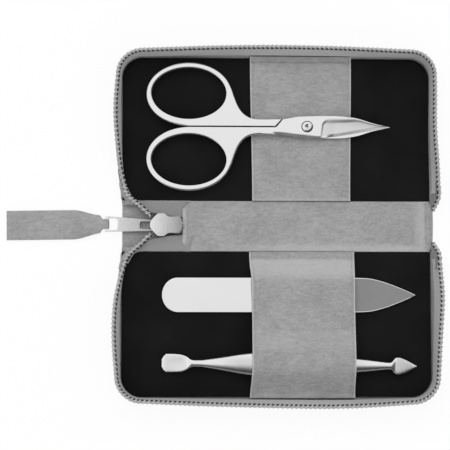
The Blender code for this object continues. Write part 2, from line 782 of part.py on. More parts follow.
def build_loose_zip_ends(name, side, place):
    """Flexible ends of one zip tape: to the slider at the left, turned in at the right."""
    first = rim_stations(WALL_STEP)[0]
    last = rim_stations(WALL_STEP)[-1]
    fold = side * HALF_SPINE
    wall_y = fold + side * (WALL_END - COIL_WIDTH / 2)
    left_low = LEFT_RIM_HEIGHT - COIL_HEIGHT
    _, _, plate = arch_levels()
    mouth = plate + PLATE_THICK
    coil_x = first[0] - first[4] + COIL_WIDTH / 2
    mouth_y = SLIDER_Y + side * SLIDER_HALF
    nose = SLIDER_START - COIL_WIDTH / 2
    left_route = [
        (coil_x, wall_y, left_low),
        (coil_x + COIL_WIDTH, fold + side * COIL_WIDTH, left_low),
        ((coil_x + nose) / 2, (fold + mouth_y) / 2 + side * COIL_WIDTH / 3, left_low),
        (nose, mouth_y, mouth),
    ]
    place(name + "_chain_end", build_chain_end(left_route, side), SILVER_COIL)
    right_x = last[0] + last[4] - COIL_WIDTH / 2
    right_low = RIGHT_RIM_HEIGHT - COIL_HEIGHT
    right_route = [
        (right_x, wall_y, right_low),
        (right_x, fold + side * COIL_WIDTH / 2, right_low * 0.82),
        (right_x - COIL_WIDTH / 3, fold - side * COIL_WIDTH / 2, right_low * 0.55),
        (HALF_LENGTH + COIL_WIDTH, fold - side * COIL_WIDTH * 2, right_low * 0.22),
    ]
    place(name + "_zip_tail", build_chain_end(right_route, side), SILVER_COIL)
    channel = plate + PLATE_THICK + CHANNEL_HEIGHT / 2
    patch_x = PATCH_START - HALF_LENGTH - SEAT_GAP
    inner_y = SLIDER_Y + side * (SLIDER_HALF + SEAT_GAP)
    outer_y = fold - side * HALF_GAP
    rings = []
    for x, inner_level in ((SLIDER_START + COIL_WIDTH, channel), (patch_x, LINING_TOP)):
        rings.append([(x, inner_y, inner_level), (x, outer_y, LINING_TOP),
                      (x, outer_y, LINING_TOP - TAPE_THICK), (x, inner_y, inner_level - TAPE_THICK)])
    place(name + "_tape_end", loft(rings), GREY_TAPE)


def main():
    clear_scene()
    spine_axis = add_empty("spine_fold_axis", (0, -HALF_SPINE, FOLD_HEIGHT))
    upper_axis = add_empty("upper_fold_axis", (0, SPINE_WIDTH, 0), parent=spine_axis)

    def place_lower(name, bm, look):
        add_object(name, bm, look, location=(0, -HALF_SPINE, 0))

    def place_upper(name, bm, look):
        add_object(name, bm, look, location=(0, 0, -FOLD_HEIGHT), parent=upper_axis)

    def place_spine(name, bm, look):
        add_object(name, bm, look, location=(0, HALF_SPINE, -FOLD_HEIGHT), parent=spine_axis)

    build_half("lower", -1, bridged_underside(), True, place_lower)
    build_half("upper", 1, flat_underside(), False, place_upper)
    build_spine(place_spine)
    build_loose_zip_ends("lower", -1, place_spine)
    build_loose_zip_ends("upper", 1, place_spine)

    _, puller_middle, _ = arch_levels()
    spine_to_world = Vector((0, HALF_SPINE, -FOLD_HEIGHT))
    nose = Vector((SLIDER_START, SLIDER_Y, puller_middle))
    slider_axis = add_empty("slider_origin", nose + spine_to_world, parent=spine_axis)
    build_slider(slider_axis, nose)
    eye_x = ARCH_POST + PULLER_GAP + EYE_BAR / 2
    puller_axis = add_empty("puller_axis", (eye_x, 0, 0), parent=slider_axis, turn=(0, 0, PULLER_TURN))
    build_puller(puller_axis)
    bar = (EYE_BAR / 2 - PULLER_LENGTH + SLOT_BAR / 2, 0, 0)
    tab_axis = add_empty("tab_axis", bar, parent=puller_axis, turn=(0, 0, TAB_TURN - PULLER_TURN))
    build_tab(tab_axis, puller_middle)

    screw_level = STRAP_LOW + STRAP_THICK + SEAT_GAP + BLADE_GAP / 2 + BLADE_THICK
    pivot = Vector((SCREW_X, SCREW_V, screw_level - FOLD_HEIGHT))
    back_axis = add_empty("scissors_axis", pivot, parent=upper_axis)
    front_axis = add_empty("scissors_front_axis", (0, 0, 0), parent=back_axis)
    build_scissor_member("scissor_front", front_axis, (0, 0, 0))
    build_scissor_member("scissor_back", back_axis, (math.pi, 0, 0))
    build_screw(back_axis)

    file_seat = add_empty("file_seat", (FILE_X, -HALF_SPINE - FILE_V, TOOL_LOW))
    build_file(file_seat)
    pusher_level = TOOL_LOW + PUSHER_THICK / 2
    pusher_spot = (PUSHER_X, -HALF_SPINE - PUSHER_V, pusher_level)
    pusher_seat = add_empty("pusher_seat", pusher_spot, turn=(0, 0, PUSHER_TURN))
    build_pusher(pusher_seat)


main()
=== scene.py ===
import math

import bpy
import numpy as np
from mathutils import Matrix, Vector


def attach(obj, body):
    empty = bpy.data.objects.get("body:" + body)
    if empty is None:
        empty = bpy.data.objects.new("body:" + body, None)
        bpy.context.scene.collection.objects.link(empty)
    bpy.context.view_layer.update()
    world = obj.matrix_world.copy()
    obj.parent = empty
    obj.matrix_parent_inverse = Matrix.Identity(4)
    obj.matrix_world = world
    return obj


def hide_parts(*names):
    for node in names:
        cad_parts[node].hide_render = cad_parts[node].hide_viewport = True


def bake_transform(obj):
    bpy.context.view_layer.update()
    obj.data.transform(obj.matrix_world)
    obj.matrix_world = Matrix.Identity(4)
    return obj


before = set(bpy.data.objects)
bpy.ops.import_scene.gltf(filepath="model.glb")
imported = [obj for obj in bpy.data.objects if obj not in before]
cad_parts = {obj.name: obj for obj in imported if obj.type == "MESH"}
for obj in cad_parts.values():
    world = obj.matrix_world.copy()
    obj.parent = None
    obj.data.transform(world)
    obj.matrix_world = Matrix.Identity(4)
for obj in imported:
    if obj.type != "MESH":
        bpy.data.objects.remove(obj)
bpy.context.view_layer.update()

# Camera: a product photo taken from nearly straight above, on a long lens.
# It leans a little towards the lower half, which therefore looks slightly larger.
CAMERA_AIM = Vector((-0.0190, 0.0007, 0.0))
CAMERA_DISTANCE = 0.617
CAMERA_ELEVATION = math.radians(84.6)
CAMERA_AZIMUTH = math.radians(-20.0)
PIXEL_SIZE_AT_AIM = 0.3737e-3
PHOTO_PIXELS = 450

camera = bpy.data.objects.new("camera", bpy.data.cameras.new("camera"))
bpy.context.collection.objects.link(camera)
towards_camera = Vector((
    math.sin(CAMERA_AZIMUTH) * math.cos(CAMERA_ELEVATION),
    -math.cos(CAMERA_AZIMUTH) * math.cos(CAMERA_ELEVATION),
    math.sin(CAMERA_ELEVATION),
))
camera_right = Vector((0, 1, 0)).cross(towards_camera).normalized()
camera_up = towards_camera.cross(camera_right)
turned = Matrix((camera_right, camera_up, towards_camera)).transposed().to_4x4()
camera.matrix_world = Matrix.Translation(CAMERA_AIM + towards_camera * CAMERA_DISTANCE) @ turned
camera.data.lens = camera.data.sensor_width * CAMERA_DISTANCE / (PHOTO_PIXELS * PIXEL_SIZE_AT_AIM)
camera.data.clip_start = 0.01
camera.data.clip_end = 20
bpy.context.scene.camera = camera
bpy.context.scene.view_settings.view_transform = "Standard"


# Floor, lamps and surroundings: white studio paper in soft light from above the case's upper
# edge. Paper and surroundings look white to the camera and in the steel, and the paper keeps
# the shadow. To the front and right, what metal mirrors grades to dark, for its darker edges.
PAPER_SIZE = 6.0
PAPER_COLOUR = "#f7f7f7"
PAPER_GLOW_SHARE = 0.90
AMBIENT_STRENGTH = 0.64
KEY_PLACE = (-0.20, 0.52, 0.98)
KEY_SIZE = 0.8
KEY_POWER = 4.7
FILL_PLACE = (0.36, -0.62, 0.62)
FILL_SIZE = 1.0
FILL_POWER = 2.2
DARK_SIDE = (0.60, -0.80, 0.0)
DARK_GREY = "#4e4e4e"
DARK_FROM = -0.045
DARK_FULL = 0.54
WHITE = (1, 1, 1, 1)


def linear(hex_colour):
    """An sRGB hex colour as the linear RGBA that shaders take."""
    levels = [int(hex_colour[place:place + 2], 16) / 255 for place in (1, 3, 5)]
    return tuple(c / 12.92 if c <= 0.04045 else ((c + 0.055) / 1.055) ** 2.4 for c in levels) + (1.0,)


def add_node(tree, kind, inputs=None, **settings):
    """One shader node with its settings. An input is a value, or the socket that feeds it."""
    made = tree.nodes.new(kind)
    for name, value in settings.items():
        setattr(made, name, value)
    for key, value in (inputs or {}).items():
        if isinstance(value, bpy.types.NodeSocket):
            tree.links.new(value, made.inputs[key])
        else:
            made.inputs[key].default_value = value
    return made


def new_material(name):
    """A material with an empty node tree but for its output."""
    made = bpy.data.materials.new(name)
    made.use_nodes = True
    made.node_tree.nodes.clear()
    output = made.node_tree.nodes.new("ShaderNodeOutputMaterial")
    return made, made.node_tree, output


def new_piece(name, add_primitive, **settings):
    """A primitive that a piece starts from, with nothing else selected."""
    bpy.ops.object.select_all(action="DESELECT")
    add_primitive(**settings)
    piece = bpy.context.object
    piece.name = piece.data.name = name
    return piece


def white_rays(tree):
    """The Light Path node, and a socket that is 1 for each ray that has to see plain white."""
    rays = add_node(tree, "ShaderNodeLightPath")
    white = rays.outputs["Is Camera Ray"]
    for kind in ("Is Glossy Ray", "Is Transmission Ray"):
        white = add_node(tree, "ShaderNodeMath", {0: white, 1: rays.outputs[kind]},
                         operation="MAXIMUM").outputs[0]
    return rays, white


paper = new_piece("studio_paper", bpy.ops.mesh.primitive_plane_add, size=PAPER_SIZE)
paper_finish, tree, output = new_material("white_matt_paper")
rays, white = white_rays(tree)
matt = add_node(tree, "ShaderNodeBsdfDiffuse", {"Color": linear(PAPER_COLOUR)})
glow = add_node(tree, "ShaderNodeEmission", {"Color": WHITE, "Strength": 1.0})
share = add_node(tree, "ShaderNodeMath", {0: white, 1: PAPER_GLOW_SHARE}, operation="MULTIPLY")
mixed = add_node(tree, "ShaderNodeMixShader", {
    0: share.outputs[0], 1: matt.outputs[0], 2: glow.outputs[0]})
tree.links.new(mixed.outputs[0], output.inputs["Surface"])
paper.data.materials.append(paper_finish)

world = bpy.data.worlds.new("studio_surroundings")
world.use_nodes = True
bpy.context.scene.world = world
tree = world.node_tree
tree.nodes.clear()
rays, white = white_rays(tree)
soft_light = add_node(tree, "ShaderNodeBackground", {"Color": WHITE, "Strength": AMBIENT_STRENGTH})
white_light = add_node(tree, "ShaderNodeBackground", {"Color": WHITE, "Strength": 1.0})
mixed = add_node(tree, "ShaderNodeMixShader", {
    0: white, 1: soft_light.outputs[0], 2: white_light.outputs[0]})
way = add_node(tree, "ShaderNodeTexCoord").outputs["Generated"]
sideways = add_node(tree, "ShaderNodeVectorMath", {0: way, 1: DARK_SIDE}, operation="DOT_PRODUCT")
share = add_node(tree, "ShaderNodeMapRange", {
    0: sideways.outputs["Value"], 1: DARK_FROM, 2: DARK_FULL}, interpolation_type="SMOOTHSTEP")
grey = add_node(tree, "ShaderNodeMix", {0: share.outputs[0], 6: WHITE, 7: linear(DARK_GREY)},
                data_type="RGBA")
graded_light = add_node(tree, "ShaderNodeBackground", {"Color": grey.outputs[2], "Strength": 1.0})
mirrored_too = add_node(tree, "ShaderNodeMixShader", {
    0: rays.outputs["Is Glossy Ray"], 1: mixed.outputs[0], 2: graded_light.outputs[0]})
output = add_node(tree, "ShaderNodeOutputWorld", {"Surface": mirrored_too.outputs[0]})

for name, place, size, power in (("key_softbox", KEY_PLACE, KEY_SIZE, KEY_POWER),
                                 ("fill_softbox", FILL_PLACE, FILL_SIZE, FILL_POWER)):
    lamp = bpy.data.objects.new(name, bpy.data.lights.new(name, "AREA"))
    lamp.data.shape = "SQUARE"
    lamp.data.size = size
    lamp.data.energy = power
    lamp.location = place
    # Metal shows the surroundings alone, and the lamps add no second glare
    lamp.visible_glossy = False
    lamp.rotation_euler = (-Vector(place)).to_track_quat("-Z", "Y").to_euler()
    bpy.context.collection.objects.link(lamp)


# Outer leather: one hide panel under each half, meeting at the middle of the spine.
# Soft pebbled cowhide, pigmented mid grey, cut 1 mm thick and turned in at its edge.
# Both folds lie level with the lining's top face.
HALF_LENGTH = 0.0573
TRAY_DEPTH = 0.0538
TRAY_CORNER = 0.0075
HALF_SPINE = 0.0093
COVER_THICK = 0.0010
SEAM_MARGIN = 0.0017
MARGIN_RUN = 0.0110
COVER_EDGE_ROUND = 0.00042
COVER_COLUMNS = 150
FOLD_BEND = 0.0022
FOLD_HEIGHT = 0.0028
LEATHER_DARK = "#8b8b8b"
LEATHER_LIGHT = "#a3a3a3"
PALE_EDGE_AND_HIGHLIGHT = "#c2c2c2"
LEATHER_ROUGHNESS = (0.40, 0.52)
GRAIN_CELL = 0.00075
GRAIN_DRIFT_SIZE = 0.0022
GRAIN_DRIFT = 0.00045
CREASE_LENGTH = 0.0016
HIDE_CLOUD = 0.009
ROUND_FROM = math.radians(50)
HALVES = (("lower", -1), ("upper", 1))


def select_only(piece):
    bpy.ops.object.select_all(action="DESELECT")
    piece.select_set(True)
    bpy.context.view_layer.objects.active = piece


def apply_modifier(piece, kind, **settings):
    select_only(piece)
    modifier = piece.modifiers.new(kind.lower(), kind)
    for name, value in settings.items():
        setattr(modifier, name, value)
    bpy.ops.object.modifier_apply(modifier=modifier.name)


def mend_normals(piece):
    """Turn every face of a closed piece outwards."""
    select_only(piece)
    bpy.ops.object.mode_set(mode="EDIT")
    bpy.ops.mesh.select_all(action="SELECT")
    bpy.ops.mesh.normals_make_consistent(inside=False)
    bpy.ops.object.mode_set(mode="OBJECT")


def round_edges(piece, width, segments=3):
    apply_modifier(piece, "BEVEL", width=width, segments=segments, limit_method="ANGLE",
                   angle_limit=ROUND_FROM)


def thicken(sheet, thick, offset, edge_round=0.0, segments=3):
    """Give an open sheet its thickness and its rounded edges, with all faces outwards."""
    apply_modifier(sheet, "SOLIDIFY", thickness=thick, offset=offset)
    if edge_round:
        round_edges(sheet, edge_round, segments)
    mend_normals(sheet)


def dress(piece, finish, degrees=40):
    """Shade a piece smooth but for edges sharper than so many degrees, and finish it."""
    select_only(piece)
    bpy.ops.object.shade_smooth_by_angle(angle=math.radians(degrees))
    piece.data.materials.append(finish)


def blend_over_fold(piece, side, near, far):
    """Bake a piece's place into its mesh, with no body, on either side. near and far are not used."""
    if side < 0:
        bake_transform(piece)
    else:
        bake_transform(piece)


def grid_sheet(name, columns, rows, spot):
    """An open sheet: a grid primitive with each point set out by a formula of two shares."""
    sheet = new_piece(name, bpy.ops.mesh.primitive_grid_add, x_subdivisions=columns,
                      y_subdivisions=rows, size=1)
    for vertex in sheet.data.vertices:
        vertex.co = spot(vertex.co.x + 0.5, vertex.co.y + 0.5)
    return sheet


def ease(share):
    """From 0 to 1, level at both ends."""
    held = min(1.0, max(0.0, share))
    return held * held * (3 - 2 * held)


def panel_half(v, margin):
    """Half the length of a panel at a distance v from the fold line."""
    half = HALF_LENGTH + margin * min(1.0, max(0.0, v / MARGIN_RUN))
    into_corner = v - (TRAY_DEPTH - TRAY_CORNER)
    if into_corner > 0:
        radius = TRAY_CORNER + margin
        half += math.sqrt(max(0.0, radius ** 2 - into_corner ** 2)) - radius
    return half


def panel_rows(start, margin):
    """Distances from the fold line, closer together where the corners turn."""
    corner = TRAY_DEPTH - TRAY_CORNER
    radius = TRAY_CORNER + margin
    turns = [corner + radius * math.sin(math.pi / 2 * step / 24) for step in range(1, 25)]
    return [start + (corner - start) * step / 60 for step in range(61)] + turns


def leather_finish(name, dark, light):
    """Pebbled cowhide under a matt pigment: fine closed grain, long soft creases and a
    slightly shinier top on each pebble, so it reads soft and never plastic. A piece's
    attribute pale_edge_and_painted_highlight tells where its paler raw edge shows, and where
    it is painted paler as a highlight."""
    made, tree, output = new_material(name)
    spot = add_node(tree, "ShaderNodeTexCoord").outputs["Object"]
    drift = add_node(tree, "ShaderNodeTexNoise", {
        "Vector": spot, "Scale": 1 / GRAIN_DRIFT_SIZE, "Detail": 3.0})
    bent = add_node(tree, "ShaderNodeMix", {0: GRAIN_DRIFT, 4: spot, 5: drift.outputs["Color"]},
                    data_type="VECTOR")
    grain = add_node(tree, "ShaderNodeTexVoronoi", {
        "Vector": bent.outputs[1], "Scale": 1 / GRAIN_CELL}, feature="SMOOTH_F1").outputs["Distance"]
    stretched = add_node(tree, "ShaderNodeMapping", {"Vector": spot, "Scale": (0.55, 1.3, 1.0)})
    creases = add_node(tree, "ShaderNodeTexNoise", {
        "Vector": stretched.outputs[0], "Scale": 1 / CREASE_LENGTH, "Detail": 5.0,
        "Roughness": 0.62, "Distortion": 0.6}).outputs["Fac"]
    height = add_node(tree, "ShaderNodeMath", {0: creases, 1: 1.6, 2: grain}, operation="MULTIPLY_ADD")
    bump = add_node(tree, "ShaderNodeBump", {
        "Strength": 0.65, "Distance": 0.00024, "Height": height.outputs[0]})
    patches = add_node(tree, "ShaderNodeTexNoise", {
        "Vector": spot, "Scale": 1 / HIDE_CLOUD, "Detail": 5.0}).outputs["Fac"]
    folds = add_node(tree, "ShaderNodeMath", {0: patches, 1: 0.6, 2: creases}, operation="MULTIPLY_ADD")
    tone = add_node(tree, "ShaderNodeMath", {0: grain, 1: -0.35, 2: folds.outputs[0]},
                    operation="MULTIPLY_ADD")
    spread = add_node(tree, "ShaderNodeMapRange", {0: tone.outputs[0], 1: 0.42, 2: 0.92})
    colour = add_node(tree, "ShaderNodeMix", {0: spread.outputs[0], 6: linear(dark), 7: linear(light)},
                      data_type="RGBA")
    # Paler where a raw edge shows, and where a highlight is painted on
    raw = add_node(tree, "ShaderNodeAttribute", attribute_name="pale_edge_and_painted_highlight").outputs["Fac"]
    edge_and_highlight = add_node(tree, "ShaderNodeMix", {0: raw, 6: colour.outputs[2], 7: linear(PALE_EDGE_AND_HIGHLIGHT)},
                     data_type="RGBA")
    rough = add_node(tree, "ShaderNodeMapRange", {
        0: grain, 1: 0.0, 2: 0.9, 3: LEATHER_ROUGHNESS[0], 4: LEATHER_ROUGHNESS[1]})
    shader = add_node(tree, "ShaderNodeBsdfPrincipled", {
        "Base Color": edge_and_highlight.outputs[2], "Roughness": rough.outputs[0], "Specular IOR Level": 0.50,
        "Normal": bump.outputs[0]})
    tree.links.new(shader.outputs[0], output.inputs["Surface"])
    return made


grey_cowhide = leather_finish("pebbled_grey_cowhide", LEATHER_DARK, LEATHER_LIGHT)

for half, side in HALVES:
    rows = panel_rows(-HALF_SPINE, SEAM_MARGIN)
    edges = [panel_half(v, SEAM_MARGIN) for v in rows]

    def cover_spot(across, along):
        v = float(np.interp(along, np.linspace(0, 1, len(rows)), rows))
        x = (across * 2 - 1) * float(np.interp(v, rows, edges))
        return (x, side * (HALF_SPINE + v), 0)

    cover = grid_sheet(half + "_outer_leather", COVER_COLUMNS, len(rows) - 1, cover_spot)
    if side < 0:
        bpy.ops.object.mode_set(mode="EDIT")
        bpy.ops.mesh.flip_normals()
        bpy.ops.object.mode_set(mode="OBJECT")
    # Turned edge: the bevel rounds every rim edge
    thicken(cover, COVER_THICK, 1, COVER_EDGE_ROUND)
    dress(cover, grey_cowhide)
    covers = ("lower_cover", "spine_cover") if side < 0 else ("upper_cover",)
    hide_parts(*covers)
    blend_over_fold(cover, side, HALF_SPINE - FOLD_BEND, HALF_SPINE + FOLD_BEND)


# Side walls: a leather gusset sewn round three sides of each half, 1.2 mm thick, its top
# edge turned over and stitched to the zip tape. It leans outwards and tapers to the fold.
WALL_THICK = 0.0012
WALL_END = 0.0050
WALL_SHARE = 0.75
WALL_BULGE_SHARE = 0.35
WALL_FOOT = 0.00095
WALL_LOW = 0.0012
SEAT_GAP = 0.0003
RIM_HEIGHT = 0.0117
LEFT_RIM_HEIGHT = 0.0065
RIGHT_RIM_HEIGHT = 0.0098
RIM_RAMP_SHARE = 0.35
SIDE_SPLAY = 0.0035
OUTER_SPLAY = 0.0039
CORNER_SPLAY = 0.0025
LEFT_END_SPLAY = 0.0010
RIGHT_END_SPLAY = 0.0036
# Side, where (x, y), how far it reaches, how far the rim is moved (x, y), and the foot's
# share of that. The slider's pull draws both left ends inwards
RIM_PULLS = (
    (1, -0.0580, 0.0100, 0.0095, 0.0021, 0, 0.36), (-1, -0.0580, -0.0100, 0.0095, 0.0021, 0, 0.36),
    (1, 0.0590, 0.0355, 0.0155, -0.0014, 0, 0), (1, -0.0590, 0.0290, 0.0110, 0.0007, 0, 0),
    (-1, 0.0590, -0.0260, 0.0110, 0.0007, 0, 0), (-1, 0.0270, -0.0640, 0.0260, 0, -0.0009, 0),
)
TAPE_THICK = 0.0004
COIL_WIDTH = 0.0018
COIL_HEIGHT = 0.0015
TAPER_RUN = 0.0042
TAPER_HEIGHT = 0.0036
TAPER_DIP = 0.0012
WALL_COLUMNS = 320
WALL_ROWS = 12
WALL_EDGE_ROUND = 0.0004
# The leather swells a little between seam and stitching, unevenly along its run
WALL_SLACK = 0.00012
WALL_SLACK_RUN = 0.0091
WALL_SLACK_DRIFT = 0.023

SIDE_RUN = TRAY_DEPTH - TRAY_CORNER - WALL_END
CORNER_RUN = math.pi / 2 * (TRAY_CORNER + CORNER_SPLAY)
OUTER_RUN = 2 * (HALF_LENGTH - TRAY_CORNER)
RIM_RUN = 2 * SIDE_RUN + 2 * CORNER_RUN + OUTER_RUN


def swell(start, middle, end, share):
    return start + (end - start) * share + (middle - (start + end) / 2) * math.sin(math.pi * share)


def rim_station(along):
    """The lining's edge (x, v), the outward direction, the splay and the rim's height at a
    distance along the rim, from the left end round to the right end."""
    corner_x = HALF_LENGTH - TRAY_CORNER
    corner_v = TRAY_DEPTH - TRAY_CORNER
    from_end = RIM_RUN - along
    for end, run, end_splay, end_height in ((-1, along, LEFT_END_SPLAY, LEFT_RIM_HEIGHT),
                                            (1, from_end, RIGHT_END_SPLAY, RIGHT_RIM_HEIGHT)):
        if run <= SIDE_RUN:
            share = max(0.0, run / SIDE_RUN)
            splay = swell(end_splay, SIDE_SPLAY, CORNER_SPLAY, share)
            rim = end_height + (RIM_HEIGHT - end_height) * ease(share / RIM_RAMP_SHARE)
            return end * HALF_LENGTH, WALL_END + run, end, 0, splay, rim
    along -= SIDE_RUN
    from_end -= SIDE_RUN
    if along < CORNER_RUN or from_end < CORNER_RUN:
        to_side = -1 if along < CORNER_RUN else 1
        angle = math.pi / 2 * min(along, from_end) / CORNER_RUN
        nx, nv = to_side * math.cos(angle), math.sin(angle)
        return (to_side * corner_x + TRAY_CORNER * nx, corner_v + TRAY_CORNER * nv, nx, nv,
                CORNER_SPLAY, RIM_HEIGHT)
    along -= CORNER_RUN
    return (along - corner_x, TRAY_DEPTH, 0, 1,
            swell(CORNER_SPLAY, OUTER_SPLAY, CORNER_SPLAY, along / OUTER_RUN), RIM_HEIGHT)


def tape_top(station):
    return station[5] - COIL_HEIGHT - SEAT_GAP


def wall_top(station):
    return WALL_LOW + (tape_top(station) - WALL_LOW) * WALL_SHARE


def wall_lean(station, height):
    """How far outside the lining's edge the wall's inner face is at a height."""
    reach = station[4] - COIL_WIDTH + TAPE_THICK
    share = max(0.0, (height - FOLD_HEIGHT) / (tape_top(station) - FOLD_HEIGHT))
    return SEAT_GAP + reach * share * (1 + WALL_BULGE_SHARE * (1 - share))


def rim_point(side, station, offset, height):
    """A place beside the rim, on one half: soft leather that is pulled in here and bulges there."""
    x, v, nx, nv = station[:4]
    x, y = x + nx * offset, side * (HALF_SPINE + v + nv * offset)
    for of_side, at_x, at_y, reach, to_x, to_y, foot in RIM_PULLS:
        if of_side == side:
            near = math.exp(-((x - at_x) ** 2 + (y - at_y) ** 2) / reach ** 2)
            near *= foot + (1 - foot) * min(1.0, height / RIM_HEIGHT)
            x, y = x + to_x * near, y + to_y * near
    return (x, y, height)


def past_end(along):
    """How far a place lies past either end of the zip, towards the fold, as a share."""
    return max(0.0, -along, along - RIM_RUN) / TAPER_RUN


for half, side in HALVES:
    def wall_spot(along, up):
        run = along * (RIM_RUN + 2 * TAPER_RUN) - TAPER_RUN
        station = rim_station(run)
        top = wall_top(station)
        top += (TAPER_HEIGHT - TAPER_DIP - top) * ease(past_end(run))
        height = WALL_FOOT + (top - WALL_FOOT) * up
        sway = math.sin(run / WALL_SLACK_RUN + 1.7 * math.sin(run / WALL_SLACK_DRIFT))
        slack = WALL_SLACK * math.sin(math.pi * up) * sway
        return rim_point(side, station, wall_lean(station, height) + slack, height)

    wall = grid_sheet(half + "_side_wall", WALL_COLUMNS, WALL_ROWS, wall_spot)
    thicken(wall, WALL_THICK, -side, WALL_EDGE_ROUND)
    dress(wall, grey_cowhide)
    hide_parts(half + "_wall")
    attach(wall, half + "_half")


# Zip tape: a woven polyester band sewn inside the wall's top edge. It carries the coil on
# its free edge, which turns outwards under the teeth.
TAPE_LIGHT = "#c2c2c2"
TAPE_DARK = "#b4b4b4"
TAPE_END_GREY = "#8c8c8c"
TAPE_RIB = 0.00045
TAPE_WEFT = 0.00030
# A wave texture of scale 1 repeats after this many metres
WAVE_PERIOD = 0.314159
TAPE_COLUMNS = 320
TAPE_ROWS = 10
TAPE_LOW_SHARE = 1 / 3
TAPE_TURN_AT = 0.8
TAPE_DROP = 0.0012
TAPE_TURN_RISE = 0.00026
# A little looser than the wall it is sewn to
TAPE_SLACK = 0.00008
TAPE_SLACK_RUN = 0.0057
TAPE_RUN_UP = 0.008
TAPE_SHADE_ANGLE = 60
COIL_TUCK = 0.0005

woven_tape, tree, output = new_material("woven_polyester_tape")
# Fine ribs across the band with a dull thread between them: matt, a little fibrous
flat = add_node(tree, "ShaderNodeUVMap", uv_map="UVMap").outputs[0]
ribs = add_node(tree, "ShaderNodeTexWave", {
    "Vector": flat, "Scale": WAVE_PERIOD / TAPE_RIB, "Distortion": 0.4, "Detail": 1.0},
    bands_direction="X")
weft = add_node(tree, "ShaderNodeTexWave", {
    "Vector": flat, "Scale": WAVE_PERIOD / TAPE_WEFT, "Distortion": 0.3}, bands_direction="Y")
weave = add_node(tree, "ShaderNodeMath", {0: ribs.outputs["Fac"], 1: weft.outputs["Fac"]},
                 operation="MULTIPLY").outputs[0]
shade = add_node(tree, "ShaderNodeMix", {0: weave, 6: linear(TAPE_DARK), 7: linear(TAPE_LIGHT)},
                 data_type="RGBA")
# The tape's ends by the slider are greyer
handled = add_node(tree, "ShaderNodeAttribute", attribute_name="handled").outputs["Fac"]
shade = add_node(tree, "ShaderNodeMix", {0: handled, 6: shade.outputs[2], 7: linear(TAPE_END_GREY)},
                 data_type="RGBA")
bump = add_node(tree, "ShaderNodeBump", {"Strength": 0.25, "Distance": 0.0001, "Height": weave})
shader = add_node(tree, "ShaderNodeBsdfPrincipled", {
    "Base Color": shade.outputs[2], "Roughness": 0.85, "Sheen Weight": 0.15, "Normal": bump.outputs[0]})
tree.links.new(shader.outputs[0], output.inputs["Surface"])


def measure_uv(sheet, along, across):
    """Give a sheet's UV map the sheet's real size in metres."""
    for corner in sheet.data.uv_layers.active.data:
        corner.uv = (corner.uv[0] * along, corner.uv[1] * across)


for half, side in HALVES:
    def tape_spot(along, up):
        run = along * (RIM_RUN + TAPER_RUN) - TAPER_RUN / 2
        station = rim_station(run)
        top = tape_top(station) - TAPE_DROP * ease(past_end(run) * 2)
        low = max(FOLD_HEIGHT + SEAT_GAP, FOLD_HEIGHT + (top - FOLD_HEIGHT) * TAPE_LOW_SHARE)
        if up < TAPE_TURN_AT:
            height = low + (top - low) * up / TAPE_TURN_AT
            offset = wall_lean(station, height) - SEAT_GAP / 4
            slack = TAPE_SLACK * math.sin(math.pi * up / TAPE_TURN_AT)
            offset -= slack * (1 + math.sin(run / TAPE_SLACK_RUN))
            return rim_point(side, station, offset, height)
        turn = (up - TAPE_TURN_AT) / (1 - TAPE_TURN_AT)
        start = wall_lean(station, top) - SEAT_GAP / 4
        return rim_point(side, station, start + (station[4] - COIL_TUCK - start) * turn,
                         top + TAPE_TURN_RISE * math.sin(math.pi / 2 * turn))

    tape = grid_sheet(half + "_woven_tape", TAPE_COLUMNS, TAPE_ROWS, tape_spot)
    measure_uv(tape, RIM_RUN, TAPE_RUN_UP)
    thicken(tape, TAPE_THICK, side)
    dress(tape, woven_tape, TAPE_SHADE_ANGLE)
    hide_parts(half + "_zip_tape")
    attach(tape, half + "_half")


# Zip teeth: one continuous nylon coil on each tape, 1.7 mm to the turn and silver coloured,
# wound round a pale core. A nearly black cord along its inner side is painted shade, for the
# dark gaps between the turns. The turns' flattened heads form the rim's saw-tooth edge.
COIL_TURNS = 126
POINTS_PER_TURN = 12
WIRE_RADIUS = 0.00035
WIRE_HEAD_RADIUS = 0.00042
WIRE_SIDES = 6
COIL_SQUARENESS = 0.7
SHADE_CORD_RADIUS = 0.00030
SHADE_CORD_INSET = 0.00138
CORD_SIDES = 8
CORE_RADIUS = 0.00046
CORE_INSET = 0.00072
COIL_SHADE_ANGLE = 70


def clouded_finish(name, cloud, dark, light, shader_inputs, detail=2.0):
    """A finish that drifts between two near colours, in clouds of a real size in metres."""
    made, tree, output = new_material(name)
    spot = add_node(tree, "ShaderNodeTexCoord").outputs["Object"]
    clouds = add_node(tree, "ShaderNodeTexNoise", {
        "Vector": spot, "Scale": 1 / cloud, "Detail": detail}).outputs["Fac"]
    shade = add_node(tree, "ShaderNodeMix", {0: clouds, 6: linear(dark), 7: linear(light)},
                     data_type="RGBA")
    shader = add_node(tree, "ShaderNodeBsdfPrincipled", {
        "Base Color": shade.outputs[2], **shader_inputs})
    tree.links.new(shader.outputs[0], output.inputs["Surface"])
    return made


# Drawn nylon with a metallised coat: bright, with short soft glints on every turn
silver_nylon = clouded_finish("silver_metallised_nylon", 0.0015, "#a8a8a8", "#d8d8d8",
                              {"Metallic": 0.55, "Roughness": 0.30})
# A nearly black cord: painted shade, for the dark gaps between the turns
shade_cord = clouded_finish("painted_shade_cord", 0.0006, "#242424", "#3c3c3c", {"Roughness": 0.9})
# Knitted polyester core that fills the coil: soft silver grey, with loose loops
pale_core = clouded_finish("pale_knitted_core", 0.0005, "#8e8e8e", "#b6b6b6", {"Roughness": 0.8})
COIL_CORDS = (("_coil_seam", SHADE_CORD_INSET, SHADE_CORD_RADIUS, shade_cord),
              ("_coil_core", CORE_INSET, CORE_RADIUS, pale_core))


